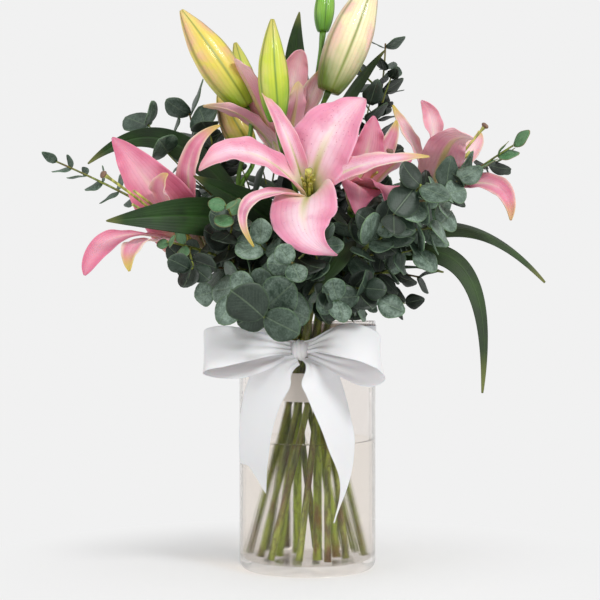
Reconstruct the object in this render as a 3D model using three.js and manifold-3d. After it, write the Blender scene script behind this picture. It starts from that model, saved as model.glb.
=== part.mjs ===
// Pink lilies and silver-leaved eucalyptus, hand-tied in a spiral and stood in a glass cylinder vase
// with a white ribbon bow. Millimetres, +Z up, origin at the middle of the vase's foot, front towards -Y.
import * as THREE from "three";
import { mergeVertices } from "three/addons/utils/BufferGeometryUtils.js";
import Module from "manifold-3d";

const wasm = await Module();
wasm.setup();

// ---- driving dimensions -------------------------------------------------------------------------
const GAP = 0.3; // clearance kept between neighbouring pieces
const VASE = { radius: 60, height: 218, wall: 3, floor: 9, corner: 8, lip: 1.5, sides: 32 };
const WATER_LEVEL = 114;
// Where the stems cross, their spacing there and the lean of the spiral.
const WAIST = { height: 178, pitch: 8.4, lean: 0.0165 };
const STEM_FOOT = 10.5; // height of the cut ends, just off the vase floor
const SLEEVE = { low: 147, high: 172, thick: 0.8 }; // paper band round the stems
const RIBBON = { width: 40, thick: 0.8 };
const BAND = { low: 176, high: 214 };
const KNOT = new THREE.Vector3(-7, -68.5, 194);
const STEM_STEPS = 8; // straight lengths in the free part of a stem, and in a branch
const BRANCH_STEPS = 4;
const TEPAL_THICK = 1.6;
const LEAF_THICK = 1.2;
const LILY_STEM = { foot: 3.7, tip: 2.7 }; // radii
const TWIG = { foot: 2.7, tip: 0.9 };
const SIDE_TWIG = { foot: 1.3, tip: 0.8 };
const PEDICEL = 2.1;

// ---- materials ----------------------------------------------------------------------------------
const finish = (color, roughness, more = {}) =>
  new THREE.MeshStandardMaterial({ color, roughness, metalness: 0, ...more });
const GLASS = finish(0xe9efee, 0.05, { transparent: true, opacity: 0.3 });
const WATER = finish(0xdfe9e6, 0.05, { transparent: true, opacity: 0.35 });
const PINK = finish(0xe493b4, 0.5);
const PALE_GREEN = finish(0xc9d184, 0.5);
const BUD_GREEN = finish(0xb7c65a, 0.45);
const STEM_GREEN = finish(0x5f8a3a, 0.55);
const LILY_LEAF = finish(0x24491f, 0.45);
const SILVER_LEAF = finish(0x5f7f70, 0.65);
const SATIN = finish(0xf5f5f8, 0.45);
const PAPER = finish(0xe8e8e6, 0.8);

// ---- geometry helpers ---------------------------------------------------------------------------
const V = (x, y, z) => new THREE.Vector3(x, y, z);
const point = (list) => V(...list);
const radians = THREE.MathUtils.degToRad;
const mix = THREE.MathUtils.lerp;

// A repeatable wobble between -1 and 1.
const wobble = (seed, n) => Math.sin(12.9898 * n + 78.233 * seed);

function toSolid(geometry) {
  const bare = geometry.clone();
  for (const name of Object.keys(bare.attributes)) {
    if (name !== "position") bare.deleteAttribute(name);
  }
  const merged = mergeVertices(bare, 1e-4);
  const mesh = new wasm.Mesh({
    numProp: 3,
    vertProperties: new Float32Array(merged.attributes.position.array),
    triVerts: new Uint32Array(merged.index.array),
  });
  return new wasm.Manifold(mesh);
}

function toGeometry(solid) {
  const mesh = solid.getMesh();
  const geometry = new THREE.BufferGeometry();
  geometry.setAttribute("position", new THREE.BufferAttribute(mesh.vertProperties, 3));
  geometry.setIndex(new THREE.BufferAttribute(mesh.triVerts, 1));
  geometry.computeVertexNormals();
  return geometry;
}

// Moves each vertex of a primitive to where reshape(x, y, z) puts it.
function reshaped(geometry, reshape) {
  const at = geometry.attributes.position;
  for (let i = 0; i < at.count; i += 1) {
    const p = reshape(at.getX(i), at.getY(i), at.getZ(i));
    at.setXYZ(i, p.x, p.y, p.z);
  }
  return toSolid(geometry);
}

// A thin curved sheet along a spine: half(t) is its half-width, side(t) the direction across it, and
// cup(t) lifts its edges and slant skews its far end. Tepals, leaves and ribbons are all made this way.
function sheet({ spine, half, side, cup = () => 0, slant = 0, thick, long, wide, grow = 0 }) {
  const box = new THREE.BoxGeometry(1, 1, 1, long, wide, 1);
  return reshaped(box, (x, y, z) => {
    const t = x + 0.5;
    const tangent = spine.getTangent(t);
    const across = side(t).clone();
    across.addScaledVector(tangent, -across.dot(tangent)).normalize();
    const face = tangent.clone().cross(across);
    const reach = half(t) + grow;
    return spine
      .getPoint(t)
      .addScaledVector(tangent, 2 * x * grow + (x > 0.49 ? 2 * y * slant : 0))
      .addScaledVector(across, 2 * y * reach)
      .addScaledVector(face, 4 * y * y * cup(t) * half(t) + z * (thick + 2 * grow));
  });
}

// A round rod along a curve, with radius(t, angle).
function rod({ path, radius, long, sides = 8, grow = 0 }) {
  path.getTangentAt = path.getTangent; // frames at the same t as the points
  const frames = path.computeFrenetFrames(long);
  const barrel = new THREE.CylinderGeometry(1, 1, 1, sides, long);
  return reshaped(barrel, (x, y, z) => {
    const t = y + 0.5;
    const k = Math.round(t * long);
    const away = Math.min(1, Math.hypot(x, z)); // 0 at the middle of an end cap
    const reach = away * (radius(t, Math.atan2(x, z)) + grow);
    const angle = Math.atan2(x, z);
    return path
      .getPoint(t)
      .addScaledVector(frames.tangents[k], 2 * y * grow)
      .addScaledVector(frames.normals[k], reach * Math.sin(angle))
      .addScaledVector(frames.binormals[k], -reach * Math.cos(angle));
  });
}

// ---- keeping the pieces apart -------------------------------------------------------------------
// Each settled solid has a guard, the same shape grown by GAP. A later piece is cut back from the guards.
const settled = [];

const meet = (a, b) =>
  [0, 1, 2].every((k) => a.min[k] < b.max[k] && b.min[k] < a.max[k]);

function settle(solid, guard) {
  settled.push({ guard, box: guard.boundingBox() });
  return solid;
}

function clearOfNeighbours(solid, skip = new Set()) {
  const box = solid.boundingBox();
  let left = solid;
  for (const other of settled) {
    if (!skip.has(other.guard) && meet(box, other.box)) left = left.subtract(other.guard);
  }
  return left;
}

function isClear(solid, skip) {
  const box = solid.boundingBox();
  return !settled.some(
    (other) => !skip.has(other.guard) && meet(box, other.box) && !solid.intersect(other.guard).isEmpty(),
  );
}

const largest = (solid) =>
  solid.decompose().reduce((best, part) => (part.volume() > best.volume() ? part : best));

// Builds make(grow) at its true size, cuts it back from its neighbours and keeps its main part.
function fitted(make) {
  return settle(largest(clearOfNeighbours(make(0))), make(GAP));
}

// ---- scene graph --------------------------------------------------------------------------------
const bouquet = new THREE.Group();

function groupAt(origin) {
  const group = new THREE.Group();
  group.position.copy(origin);
  bouquet.add(group);
  return group;
}

function addPiece(group, name, solid, material) {
  const { x, y, z } = group.position;
  const mesh = new THREE.Mesh(toGeometry(solid).translate(-x, -y, -z), material);
  mesh.name = name;
  group.add(mesh);
}

// ---- vase ---------------------------------------------------------------------------------------
function arc(cx, cy, radius, from, to, steps) {
  return Array.from({ length: steps + 1 }, (_, i) => {
    const a = radians(mix(from, to, i / steps));
    return new THREE.Vector2(cx + radius * Math.cos(a), cy + radius * Math.sin(a));
  });
}

const turned = (profile, sides) =>
  new THREE.LatheGeometry(profile, sides).rotateX(Math.PI / 2);

function vaseSolid() {
  const { radius, height, wall, floor, corner, lip } = VASE;
  const inner = radius - wall;
  const insideCorner = corner - wall;
  const profile = [
    new THREE.Vector2(0, 0),
    ...arc(radius - corner, corner, corner, -90, 0, 3),
    ...arc(radius - lip, height - lip, lip, 0, 180, 2),
    ...arc(inner - insideCorner, floor + insideCorner, insideCorner, 0, -90, 2),
    new THREE.Vector2(0, floor),
  ];
  return toSolid(turned(profile, VASE.sides));
}

// ---- stems --------------------------------------------------------------------------------------
// The stems are straight through the waist and lean round it, so that the bundle is a hyperboloid:
// a stem on a slot of the waist's hexagonal packing never meets its neighbours.
function slot(ring, degrees) {
  const offCorner = Math.abs((((degrees % 60) + 60) % 60) - 30) < 1;
  const reach = ring * WAIST.pitch * (ring === 2 && offCorner ? Math.cos(radians(30)) : 1);
  return V(reach * Math.cos(radians(degrees)), reach * Math.sin(radians(degrees)), 0);
}

function inBundle(at, height) {
  const turn = WAIST.lean * (height - WAIST.height);
  return V(at.x - turn * at.y, at.y + turn * at.x, height);
}

// The free part of a stem, from above the waist to its end.
function above({ at, end, pull, rise = 60, from = WAIST.height + 24 }) {
  const start = inBundle(at, from);
  const lean = inBundle(at, from + 1).sub(start);
  return new THREE.CubicBezierCurve3(
    start,
    start.clone().addScaledVector(lean, rise),
    point(end).sub(point(pull)),
    point(end),
  );
}

// A whole stem: one straight stretch from its cut end through the waist, then its free part.
class StemLine extends THREE.Curve {
  constructor(foot, free, stretches) {
    super();
    this.foot = foot;
    this.free = free;
    this.straight = 1 / stretches;
  }
  getPoint(t) {
    if (t > this.straight) return this.free.getPoint((t - this.straight) / (1 - this.straight));
    return this.foot.clone().lerp(this.free.getPoint(0), t / this.straight);
  }
}

function stemRod(at, free, thickness, sides, grow) {
  const long = STEM_STEPS + 1;
  const foot = inBundle(at, STEM_FOOT + (at.length() > 10 ? 2 : 0));
  const radius = (t) => mix(thickness.foot, thickness.tip, THREE.MathUtils.smoothstep(t, 1 / long, 1));
  return rod({ path: new StemLine(foot, free, long), radius, long, sides, grow });
}

// A point on the straight chords that a rod of so many steps is made of.
function onChord(free, steps, t) {
  const k = Math.min(Math.floor(t * steps), steps - 1);
  return free.getPoint(k / steps).lerp(free.getPoint((k + 1) / steps), t * steps - k);
}

// A branch leaves its stem along it and arrives at its end in the direction into.
function branch(free, from, end, into) {
  const fork = onChord(free, STEM_STEPS, from);
  const reach = end.distanceTo(fork) / 2.6;
  return new THREE.CubicBezierCurve3(
    fork,
    fork.clone().addScaledVector(free.getTangent(from), reach),
    end.clone().addScaledVector(into, -reach),
    end,
  );
}

// ---- eucalyptus ---------------------------------------------------------------------------------
// A round leaf: a disc drawn out to a point at its stalk. Its plane holds along and across.
function leafDisc({ foot, along, across, length, width, grow = 0 }) {
  const disc = new THREE.CylinderGeometry(1, 1, 1, 6, 1);
  const up = across.clone().cross(along).normalize();
  return reshaped(disc, (x, y, z) => {
    const out = (1 - z) / 2; // 0 at the stalk, 1 at the far edge
    const broad = out < 0.01 ? 0.12 : 1;
    return foot
      .clone()
      .addScaledVector(along, out * length + (2 * out - 1) * grow)
      .addScaledVector(across, x * broad * (width / 2 + grow))
      .addScaledVector(up, y * (LEAF_THICK + 2 * grow) + 0.12 * width * Math.abs(x));
  });
}

// The same leaf swung round its stem by a number of degrees and drawn a little smaller.
function swung(place, degrees, scale) {
  const along = place.along.clone().applyAxisAngle(place.tangent, radians(degrees));
  const across = place.across.clone().applyAxisAngle(place.tangent, radians(degrees));
  const foot = place.centre.clone().addScaledVector(along, place.off);
  return { foot, along, across, length: place.length * scale, width: place.width * scale };
}

// The places of a sprig's leaves: opposite pairs, each pair turned from the last. The leaves turn
// their faces away from the heart of the bouquet, to the light.
const HEART = V(0, 20, 230);

function leafPlaces({ free, steps, pairs, leaf, seed, thick, slim = 0.92 }) {
  const places = [];
  for (let k = 0; k < pairs; k += 1) {
    const share = k / (pairs - 1);
    const t = mix(0.14, 0.97, share);
    const centre = onChord(free, steps, t);
    const tangent = free.getTangent(t);
    const light = centre.clone().sub(HEART).normalize();
    const sideways = tangent.clone().cross(light).normalize();
    const toLight = sideways.clone().cross(tangent);
    for (const hand of [1, -1]) {
      const roll = radians((k % 2 ? 62 : 8) + 24 * wobble(seed, k + hand));
      const outward = sideways.clone().multiplyScalar(hand * Math.cos(roll));
      outward.addScaledVector(toLight, hand * Math.sin(roll));
      const lift = radians(28 + 14 * wobble(seed + 1, k - hand) + 22 * share);
      const along = outward.clone().multiplyScalar(Math.cos(lift));
      along.addScaledVector(tangent, Math.sin(lift)).normalize();
      const face = light.clone().addScaledVector(tangent, 0.4);
      face.addScaledVector(outward, 0.3 * wobble(seed + 3, k));
      const across = face.cross(along).normalize();
      const length = mix(leaf[0], leaf[1], share) * (1 + 0.12 * wobble(seed + 2, k + 3 * hand));
      const off = 0.5 * mix(thick.foot, thick.tip, t);
      places.push({ centre, tangent, off, along, across, length, width: length * slim });
    }
  }
  return places;
}

// Each sprig: its slot in the waist (ring and degrees), where it ends, how it is pulled there, its
// pairs of leaves and their length at the foot and at the tip. Side twigs leave it at a share of its
// free length, each with three pairs of leaves.
const SPRIGS = [
  {
    name: "low_left", slot: [2, 180], end: [-36, -121, 222], pull: [-4, -46, -22],
    pairs: 5, leaf: [32, 29], slim: 1,
    sides: [{ from: 0.35, end: [-80, -72, 243] }, { from: 0.5, end: [-58, -100, 240] }],
  },
  {
    name: "low_front", slot: [2, 210], end: [-13, -124, 266], pull: [2, -56, 4],
    pairs: 6, leaf: [29, 20],
    sides: [{ from: 0.45, end: [-40, -98, 282] }, { from: 0.6, end: [6, -100, 262] }],
  },
  {
    name: "low_right", slot: [2, 240], end: [16, -118, 240], pull: [6, -44, -20],
    pairs: 5, leaf: [28, 18],
    sides: [{ from: 0.4, end: [52, -92, 284] }, { from: 0.55, end: [46, -92, 246] }],
  },
  {
    name: "mid_left", slot: [2, 150], end: [-116, -94, 284], pull: [-34, -50, 6],
    pairs: 5, leaf: [29, 17],
    sides: [{ from: 0.35, end: [-104, -66, 268] }, { from: 0.5, end: [-67, -112, 313] }],
  },
  {
    name: "mid_right", slot: [2, 270], end: [92, -106, 330], pull: [20, -56, 30],
    pairs: 6, leaf: [30, 27], slim: 1,
    sides: [
      { from: 0.5, end: [70, -112, 306] },
      { from: 0.6, end: [112, -60, 300] },
      { from: 0.4, end: [92, -64, 280] },
    ],
  },
  {
    name: "lower_right", slot: [2, 330], end: [98, -10, 256], pull: [46, -4, -10],
    pairs: 4, leaf: [30, 26],
    sides: [{ from: 0.35, end: [60, 32, 250] }, { from: 0.3, end: [72, -40, 236] }],
  },
  {
    name: "far_right", slot: [2, 300], end: [180, -28, 371], pull: [56, -6, 34],
    pairs: 7, leaf: [29, 20], slim: 0.7,
  },
  {
    name: "far_left", slot: [2, 120], end: [-222, -15, 358], pull: [-80, -4, 34],
    pairs: 7, leaf: [26, 15], slim: 0.6,
  },
  {
    name: "upper_left", slot: [2, 90], end: [-106, 24, 404], pull: [-14, 2, 62],
    pairs: 5, leaf: [34, 28],
    sides: [
      { from: 0.6, end: [-142, 12, 392] },
      { from: 0.55, end: [-78, 4, 372] },
      { from: 0.4, end: [-124, 6, 366] },
    ],
  },
  {
    name: "upper_right", slot: [2, 0], end: [72, 60, 472], pull: [2, 12, 96], pairs: 6, leaf: [32, 20],
    sides: [{ from: 0.6, end: [56, 24, 412] }],
  },
  {
    name: "back_right", slot: [2, 30], end: [54, 122, 368], pull: [12, 40, 66],
    pairs: 4, leaf: [34, 30],
    sides: [{ from: 0.5, end: [96, 84, 320] }],
  },
  {
    name: "back_left", slot: [2, 60], end: [-62, 116, 348], pull: [-30, 46, 60],
    pairs: 4, leaf: [34, 30],
    sides: [{ from: 0.5, end: [-108, 74, 312] }],
  },
];

// ---- lilies -------------------------------------------------------------------------------------
// Each tepal leaves the flower's foot along its axis and then flares to its tip. bend is the handle
// that pulls it over, half its greatest half-width, belly how near its foot that comes (smaller is
// nearer), roll its turn at its foot and its tip in degrees, and sharp how pointed it is. A flower's tepals
// go round it in order, the three broad petals and the three sepals behind them in turn.
const LILIES = {
  front: {
    foot: [1, -32, 323], axis: [-0.05, -0.86, 0.51], trumpet: 38,
    tepals: [
      {
        name: "top", bend: [16, -82, 388], tip: [49, -46, 408],
        half: 28, belly: 0.9, cup: 0.14, roll: [0, -8], sharp: 0.75,
      },
      {
        name: "right", bend: [52, -112, 352], tip: [100, -96, 354],
        half: 10, belly: 0.8, cup: 0.2, roll: [0, -20],
      },
      {
        name: "bottom", bend: [-22, -146, 284], tip: [24, -116, 272],
        half: 27, belly: 0.8, cup: -0.1, roll: [0, 14], sharp: 1.2,
      },
      { name: "lower_left", bend: [-78, -112, 330], tip: [-44, -112, 279], half: 5, belly: 0.9, cup: 0.2 },
      {
        name: "left", bend: [-56, -112, 380], tip: [-89, -108, 341],
        half: 14, belly: 1.2, cup: 0.2, roll: [0, 10],
      },
      {
        name: "upper_left", bend: [-18, -80, 380], tip: [-39, -60, 413],
        half: 7, belly: 0.9, cup: 0.3, roll: [0, 10],
      },
    ],
    pistil: { bend: [0, -60, 338], end: [1, -70, 344] },
  },
  left: {
    foot: [-90, -25, 276], axis: [-0.46, -0.7, 0.55], trumpet: 40,
    tepals: [
      { name: "top", bend: [-139, -80, 344], tip: [-166, -54, 374], half: 24, belly: 0.62, cup: 0.16 },
      {
        name: "upper_right", bend: [-116, -66, 368], tip: [-74, -56, 384],
        half: 11, belly: 0.55, cup: 0.3, roll: [0, 50],
      },
      { name: "inner", bend: [-136, -78, 328], tip: [-116, -82, 341], half: 16, belly: 0.8, cup: 0.3 },
      { name: "bottom", bend: [-152, -104, 300], tip: [-145, -112, 259], half: 11, belly: 1.6, cup: 0.1 },
      {
        name: "lower_left", bend: [-170, -96, 308], tip: [-184, -94, 256],
        half: 8, belly: 2.4, cup: 0.2, roll: [25, -50], sharp: 0.6,
      },
      { name: "back", bend: [-150, -34, 344], tip: [-140, -8, 362], half: 14, belly: 0.8, cup: 0.15 },
    ],
    pistil: { bend: [-136, -92, 318], end: [-166, -112, 338] },
  },
  right: {
    foot: [98, -2, 316], axis: [0.5, -0.2, 0.84], trumpet: 42,
    tepals: [
      {
        name: "top", bend: [117, -10, 394], tip: [99, -16, 410],
        half: 10, belly: 1.1, cup: 0.2, roll: [0, -80],
      },
      {
        name: "upper_left", bend: [90, -2, 376], tip: [76, 14, 410],
        half: 8, belly: 0.8, cup: 0.2, roll: [0, -50],
      },
      { name: "front", bend: [112, -52, 382], tip: [140, -62, 372], half: 17, belly: 0.8, cup: 0.15 },
      {
        name: "lower_right", bend: [178, -40, 348], tip: [174, -40, 304],
        half: 9, belly: 1.1, cup: 0.3, roll: [40, 66],
      },
      { name: "right", bend: [158, 8, 372], tip: [154, 26, 388], half: 8, belly: 0.8, cup: 0.2 },
      { name: "back", bend: [122, 44, 380], tip: [124, 72, 380], half: 15, belly: 0.8, cup: 0.15 },
    ],
    pistil: { bend: [136, -20, 366], end: [154, -22, 387] },
  },
  upper: {
    foot: [-16, 8, 350], axis: [-0.26, -0.12, 0.95], trumpet: 36,
    tepals: [
      {
        name: "top", bend: [-16, 10, 440], tip: [-4, -4, 456],
        half: 14, belly: 0.8, cup: 0.2, roll: [50, 95], sharp: 0.5,
      },
      {
        name: "left", bend: [-54, -34, 428], tip: [-62, -46, 442],
        half: 12, belly: 1.2, cup: 0.3, roll: [0, -30], sharp: 0.7,
      },
      {
        name: "far_left", bend: [-56, -40, 404], tip: [-90, -40, 402],
        half: 9, belly: 0.8, cup: 0.2, roll: [0, 35],
      },
      {
        name: "front", bend: [-8, -36, 402], tip: [-9, -50, 422],
        half: 14, belly: 1.2, cup: 0.2, roll: [0, 20], sharp: 0.7,
      },
      {
        name: "right", bend: [10, -4, 422], tip: [13, -4, 440],
        half: 10, belly: 1.1, cup: 0.2, roll: [40, 90],
      },
      { name: "back", bend: [-40, 50, 420], tip: [-56, 70, 424], half: 15, belly: 0.8, cup: 0.15 },
    ],
    pistil: { bend: [-34, 4, 400], end: [-42, 4, 420] },
  },
  middle: {
    foot: [38, -2, 316], axis: [0.36, -0.5, 0.78], trumpet: 32,
    tepals: [
      { name: "top", bend: [56, -18, 378], tip: [58, -14, 397], half: 15, belly: 0.8, cup: 0.2 },
      { name: "upper_right", bend: [76, -14, 372], tip: [78, -6, 394], half: 8, belly: 0.8, cup: 0.2 },
      { name: "right", bend: [84, -44, 370], tip: [84, -54, 350], half: 16, belly: 0.8, cup: 0.2 },
      { name: "lower_right", bend: [74, -70, 346], tip: [66, -74, 314], half: 18, belly: 0.8, cup: 0.1 },
      { name: "bottom", bend: [42, -74, 344], tip: [42, -72, 305], half: 19, belly: 0.9, cup: 0.1 },
      { name: "back", bend: [34, 10, 366], tip: [26, 28, 386], half: 14, belly: 0.8, cup: 0.2 },
    ],
    pistil: { bend: [62, -40, 352], end: [70, -50, 362] },
  },
};

const BUDS = [
  { name: "upper_left", foot: [-54, -20, 404], tip: [-109, -32, 486], bow: [-6, -4, 6], half: 16.5 },
  { name: "middle", foot: [-26, -52, 388], tip: [-30, -56, 474], bow: [-4, 0, 0], half: 13 },
  { name: "top_small", foot: [14, 25, 477], tip: [19, 28, 528], bow: [-2, 0, 0], half: 9 },
  { name: "upper_right", foot: [18, -15, 418], tip: [60, -6, 524], bow: [0, -4, 0], half: 19 },
  { name: "low_left", foot: [-50, 14, 366], tip: [-79, 12, 421], bow: [-4, 0, 0], half: 13 },
  { name: "behind_left", foot: [-52, 32, 412], tip: [-65, 30, 468], bow: [0, 0, 0], half: 10 },
];

// Lily stems: main stem to a fork, pedicels to flowers and buds, and strap leaves on the stem.
const LILY_STEMS = [
  {
    name: "front", slot: [1, 240], end: [-8, -22, 318], pull: [-2, -6, 50],
    flowers: ["front"], buds: ["middle"],
    leaves: [
      { from: 0.55, bend: [-50, -70, 318], tip: [-96, -72, 340], half: 15, roll: 60 },
      { from: 0.45, bend: [48, -92, 290], tip: [0, -96, 240], half: 17, roll: 30 },
    ],
  },
  {
    name: "left", slot: [1, 180], end: [-60, -8, 330], pull: [-16, 0, 46],
    flowers: ["left"], buds: ["upper_left", "low_left"],
    leaves: [
      { from: 0.7, bend: [-106, -118, 306], tip: [-164, -114, 300], half: 15, roll: 84 },
      { from: 0.85, bend: [-134, 14, 412], tip: [-194, 0, 356], half: 11, roll: 66 },
    ],
  },
  {
    name: "right", slot: [1, 0], end: [70, 4, 292], pull: [28, 2, 34],
    flowers: ["right", "middle"], buds: [],
    leaves: [
      { from: 0.8, bend: [150, 8, 322], tip: [208, -12, 251], half: 11, roll: 35 },
      { from: 0.6, bend: [164, -28, 306], tip: [149, -46, 156], half: 11, roll: 40 },
      { from: 0.4, bend: [92, -18, 268], tip: [118, -26, 260], half: 6, roll: 0 },
    ],
  },
  {
    name: "back", slot: [1, 60], end: [2, 34, 372], pull: [0, 2, 60],
    flowers: ["upper"], buds: ["top_small", "upper_right", "behind_left"],
    leaves: [
      { from: 0.9, bend: [-16, 34, 440], tip: [-7, 14, 493], half: 13, roll: 0 },
      { from: 0.8, bend: [40, 40, 430], tip: [70, 18, 460], half: 7, roll: 60 },
      { from: 0.6, bend: [-70, 90, 380], tip: [-110, 118, 318], half: 13, roll: 0 },
    ],
  },
];

function flowerAxis(lily) {
  return point(lily.axis).normalize();
}

// The spine of a tepal and the direction across it at its foot. Petals start inside the sepals.
const PETAL_RING = 3.6;
const SEPAL_RING = 6.2;

function tepalFrame(lily, tepal) {
  const axis = flowerAxis(lily);
  const foot = point(lily.foot);
  const radial = point(tepal.tip).sub(foot);
  radial.addScaledVector(axis, -radial.dot(axis)).normalize();
  const ring = lily.tepals.indexOf(tepal) % 2 ? SEPAL_RING : PETAL_RING;
  const start = foot.clone().addScaledVector(radial, ring).addScaledVector(axis, 3);
  const flare = start.clone().addScaledVector(axis, lily.trumpet).addScaledVector(radial, ring + 4);
  const spine = new THREE.CubicBezierCurve3(start, flare, point(tepal.bend), point(tepal.tip));
  return { spine, across: axis.clone().cross(radial).normalize() };
}

const tepalHalf = ({ half, belly, sharp = 0.85 }) => (t) =>
  0.8 + 1.6 * (1 - t) + half * Math.sin(Math.PI * t ** belly) ** sharp;

// Near its foot a tepal is a stave of the trumpet, further out it keeps its own cup.
const tepalCup = ({ cup }) => (t) => mix(0.6, cup, THREE.MathUtils.smoothstep(t, 0.12, 0.5));

function tepalSolid(lily, tepal, grow, long = 7, wide = 2) {
  const { spine, across } = tepalFrame(lily, tepal);
  const half = tepalHalf(tepal);
  const [first, last] = tepal.roll ?? [0, 0];
  const roll = (t) => radians(mix(first, last, THREE.MathUtils.smoothstep(t, 0.35, 0.95)));
  const side = (t) => across.clone().applyAxisAngle(spine.getTangent(t), roll(t));
  const cup = wide > 1 ? tepalCup(tepal) : () => 0;
  return sheet({ spine, half, side, cup, thick: TEPAL_THICK, long, wide, grow });
}

function pistilSolid(lily, grow) {
  const axis = flowerAxis(lily);
  const foot = point(lily.foot);
  const { bend, end } = lily.pistil;
  const path = new THREE.QuadraticBezierCurve3(foot, point(bend), point(end));
  const ovary = (t) => mix(3.4, 1.3, THREE.MathUtils.smoothstep(t, 0.05, 0.4));
  const radius = (t) => (t > 0.92 ? 3.6 : ovary(t));
  path.v0.addScaledVector(axis, GAP);
  return rod({ path, radius, long: 8, sides: 6, grow });
}

function budSolid(bud, grow) {
  const foot = point(bud.foot);
  const tip = point(bud.tip);
  const middle = foot.clone().lerp(tip, 0.5).add(point(bud.bow));
  const path = new THREE.QuadraticBezierCurve3(foot, middle, tip);
  const swell = (t) => 1.6 + (bud.half - 1.6) * Math.sin(Math.PI * mix(0.1, 0.97, t) ** 0.82) ** 0.9;
  const radius = (t, angle) => swell(t) * (1 + 0.05 * Math.cos(3 * angle) * Math.sin(Math.PI * t));
  return rod({ path, radius, long: 7, sides: 9, grow });
}

function strapLeaf(stem, free, leaf, grow) {
  const start = onChord(free, STEM_STEPS, leaf.from);
  const rise = free.getTangent(leaf.from).multiplyScalar(26);
  const spine = new THREE.CubicBezierCurve3(
    start,
    start.clone().add(rise).lerp(point(leaf.bend), 0.35),
    point(leaf.bend),
    point(leaf.tip),
  );
  const level = point(leaf.tip).sub(start).cross(V(0, 0, 1)).normalize();
  const side = (t) => level.clone().applyAxisAngle(spine.getTangent(t), radians(leaf.roll));
  const half = (t) => 0.7 + 1.6 * (1 - t) + leaf.half * Math.sin(Math.PI * t ** 0.85) ** 0.9;
  return sheet({ spine, half, side, cup: () => 0.16, thick: LEAF_THICK, long: 6, wide: 2, grow });
}

// ---- ribbon -------------------------------------------------------------------------------------
// The ribbon is pleated narrow where it leaves the knot.
const pleat = (share) => mix(0.3, 1, THREE.MathUtils.smoothstep(share, 0, 0.3));

// Each strip: the route of its middle, the direction across it at its start and end, its half-width
// and slant, how far one corner of its cut end runs past the middle.
const BOW = {
  bow_loop_left: {
    route: [[-14, -72, 195], [-36, -80, 198], [-66, -84, 198], [-84, -80, 195], [-87, -75, 192],
      [-80, -71, 189], [-56, -70, 187], [-32, -69, 189], [-14.5, -66.5, 193]],
    lean: [[0, 0.5, 0.86], [0, 0.5, 0.86]],
    half: (t) => (RIBBON.width / 2) * pleat(Math.min(t, 1 - t)),
  },
  bow_loop_right: {
    route: [[0, -72, 196], [14, -81, 201], [31, -87, 203], [48, -87, 199], [59, -83, 192],
      [60, -78, 185], [50, -75, 180], [27, -72, 183], [1, -66.5, 191]],
    lean: [[0, 0.75, 0.66], [0, 0.45, 0.9]],
    half: (t) => (RIBBON.width / 2) * pleat(Math.min(t, 1 - t)),
  },
  ribbon_tail_left: {
    route: [[-9, -72.5, 187], [-23, -71, 180], [-36, -62, 160], [-44, -52, 131], [-46, -48, 103],
      [-46, -47, 87]],
    lean: [[0.75, -0.3, -0.6], [0.55, -0.83, 0]],
    half: (t) => (RIBBON.width / 2) * pleat(t),
    slant: 14,
  },
  ribbon_tail_right: {
    route: [[-3, -72.5, 187], [6, -77, 180], [12, -76, 166], [22, -71, 139], [29, -68, 112],
      [31, -66, 84], [22, -64, 48]],
    lean: [[0.85, 0.3, -0.4], [0.45, 0.9, -0.1]],
    half: (t) => (RIBBON.width / 2) * pleat(t) * (1 - 0.96 * THREE.MathUtils.smoothstep(t, 0.6, 1)),
  },
};

function ribbonStrip({ route, lean, half, slant = 0, grow }) {
  const spine = new THREE.CatmullRomCurve3(route.map(point), false, "centripetal");
  const side = (t) => point(lean[0]).lerp(point(lean[1]), t).normalize();
  return sheet({ spine, half, side, slant, thick: RIBBON.thick, long: 16, wide: 2, grow });
}

function bandSolid(grow) {
  const inner = VASE.radius + GAP - grow;
  const outer = VASE.radius + GAP + RIBBON.thick + grow;
  const profile = [
    new THREE.Vector2(inner, BAND.low - grow),
    new THREE.Vector2(outer, BAND.low - grow),
    new THREE.Vector2(outer, BAND.high + grow),
    new THREE.Vector2(inner, BAND.high + grow),
    new THREE.Vector2(inner, BAND.low - grow),
  ];
  return reshaped(turned(profile, VASE.sides), (x, y, z) => {
    const sideways = Math.hypot(x - KNOT.x, y + VASE.radius) / 34;
    const narrow = mix(0.35, 1, THREE.MathUtils.smoothstep(sideways, 0.1, 1));
    return V(x, y, KNOT.z + (z - KNOT.z) * narrow);
  });
}

function knotSolid(grow) {
  const ball = new THREE.SphereGeometry(1, 8, 6);
  const size = V(7 + grow, 6 + grow, 7 + grow);
  return reshaped(ball, (x, y, z) => V(x, y, z).multiply(size).add(KNOT));
}

function sleeveSolid(grow) {
  const inside = (height) => inBundle(slot(2, 0), height).setZ(0).length() + TWIG.foot + 0.5 - grow;
  const outside = (height) => inside(height) + SLEEVE.thick + 2 * grow;
  const heights = [SLEEVE.low - grow, (SLEEVE.low + SLEEVE.high) / 2, SLEEVE.high + grow];
  const profile = [
    ...heights.map((h) => new THREE.Vector2(outside(h), h)),
    ...heights.reverse().map((h) => new THREE.Vector2(inside(h), h)),
  ];
  profile.push(profile[0].clone());
  return toSolid(turned(profile, 16));
}

// ---- assembly -----------------------------------------------------------------------------------
const origin = groupAt(V(0, 0, 0));
const vase = vaseSolid();
settle(vase, vase);
addPiece(origin, "glass_vase", vase, GLASS);
addPiece(origin, "stem_sleeve", settle(sleeveSolid(0), sleeveSolid(GAP)), PAPER);

const bow = groupAt(KNOT);
addPiece(bow, "ribbon_band", settle(bandSolid(0), bandSolid(GAP)), SATIN);
addPiece(bow, "bow_knot", fitted(knotSolid), SATIN);
for (const [name, strip] of Object.entries(BOW)) {
  addPiece(bow, name, fitted((grow) => ribbonStrip({ ...strip, grow })), SATIN);
}

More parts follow.
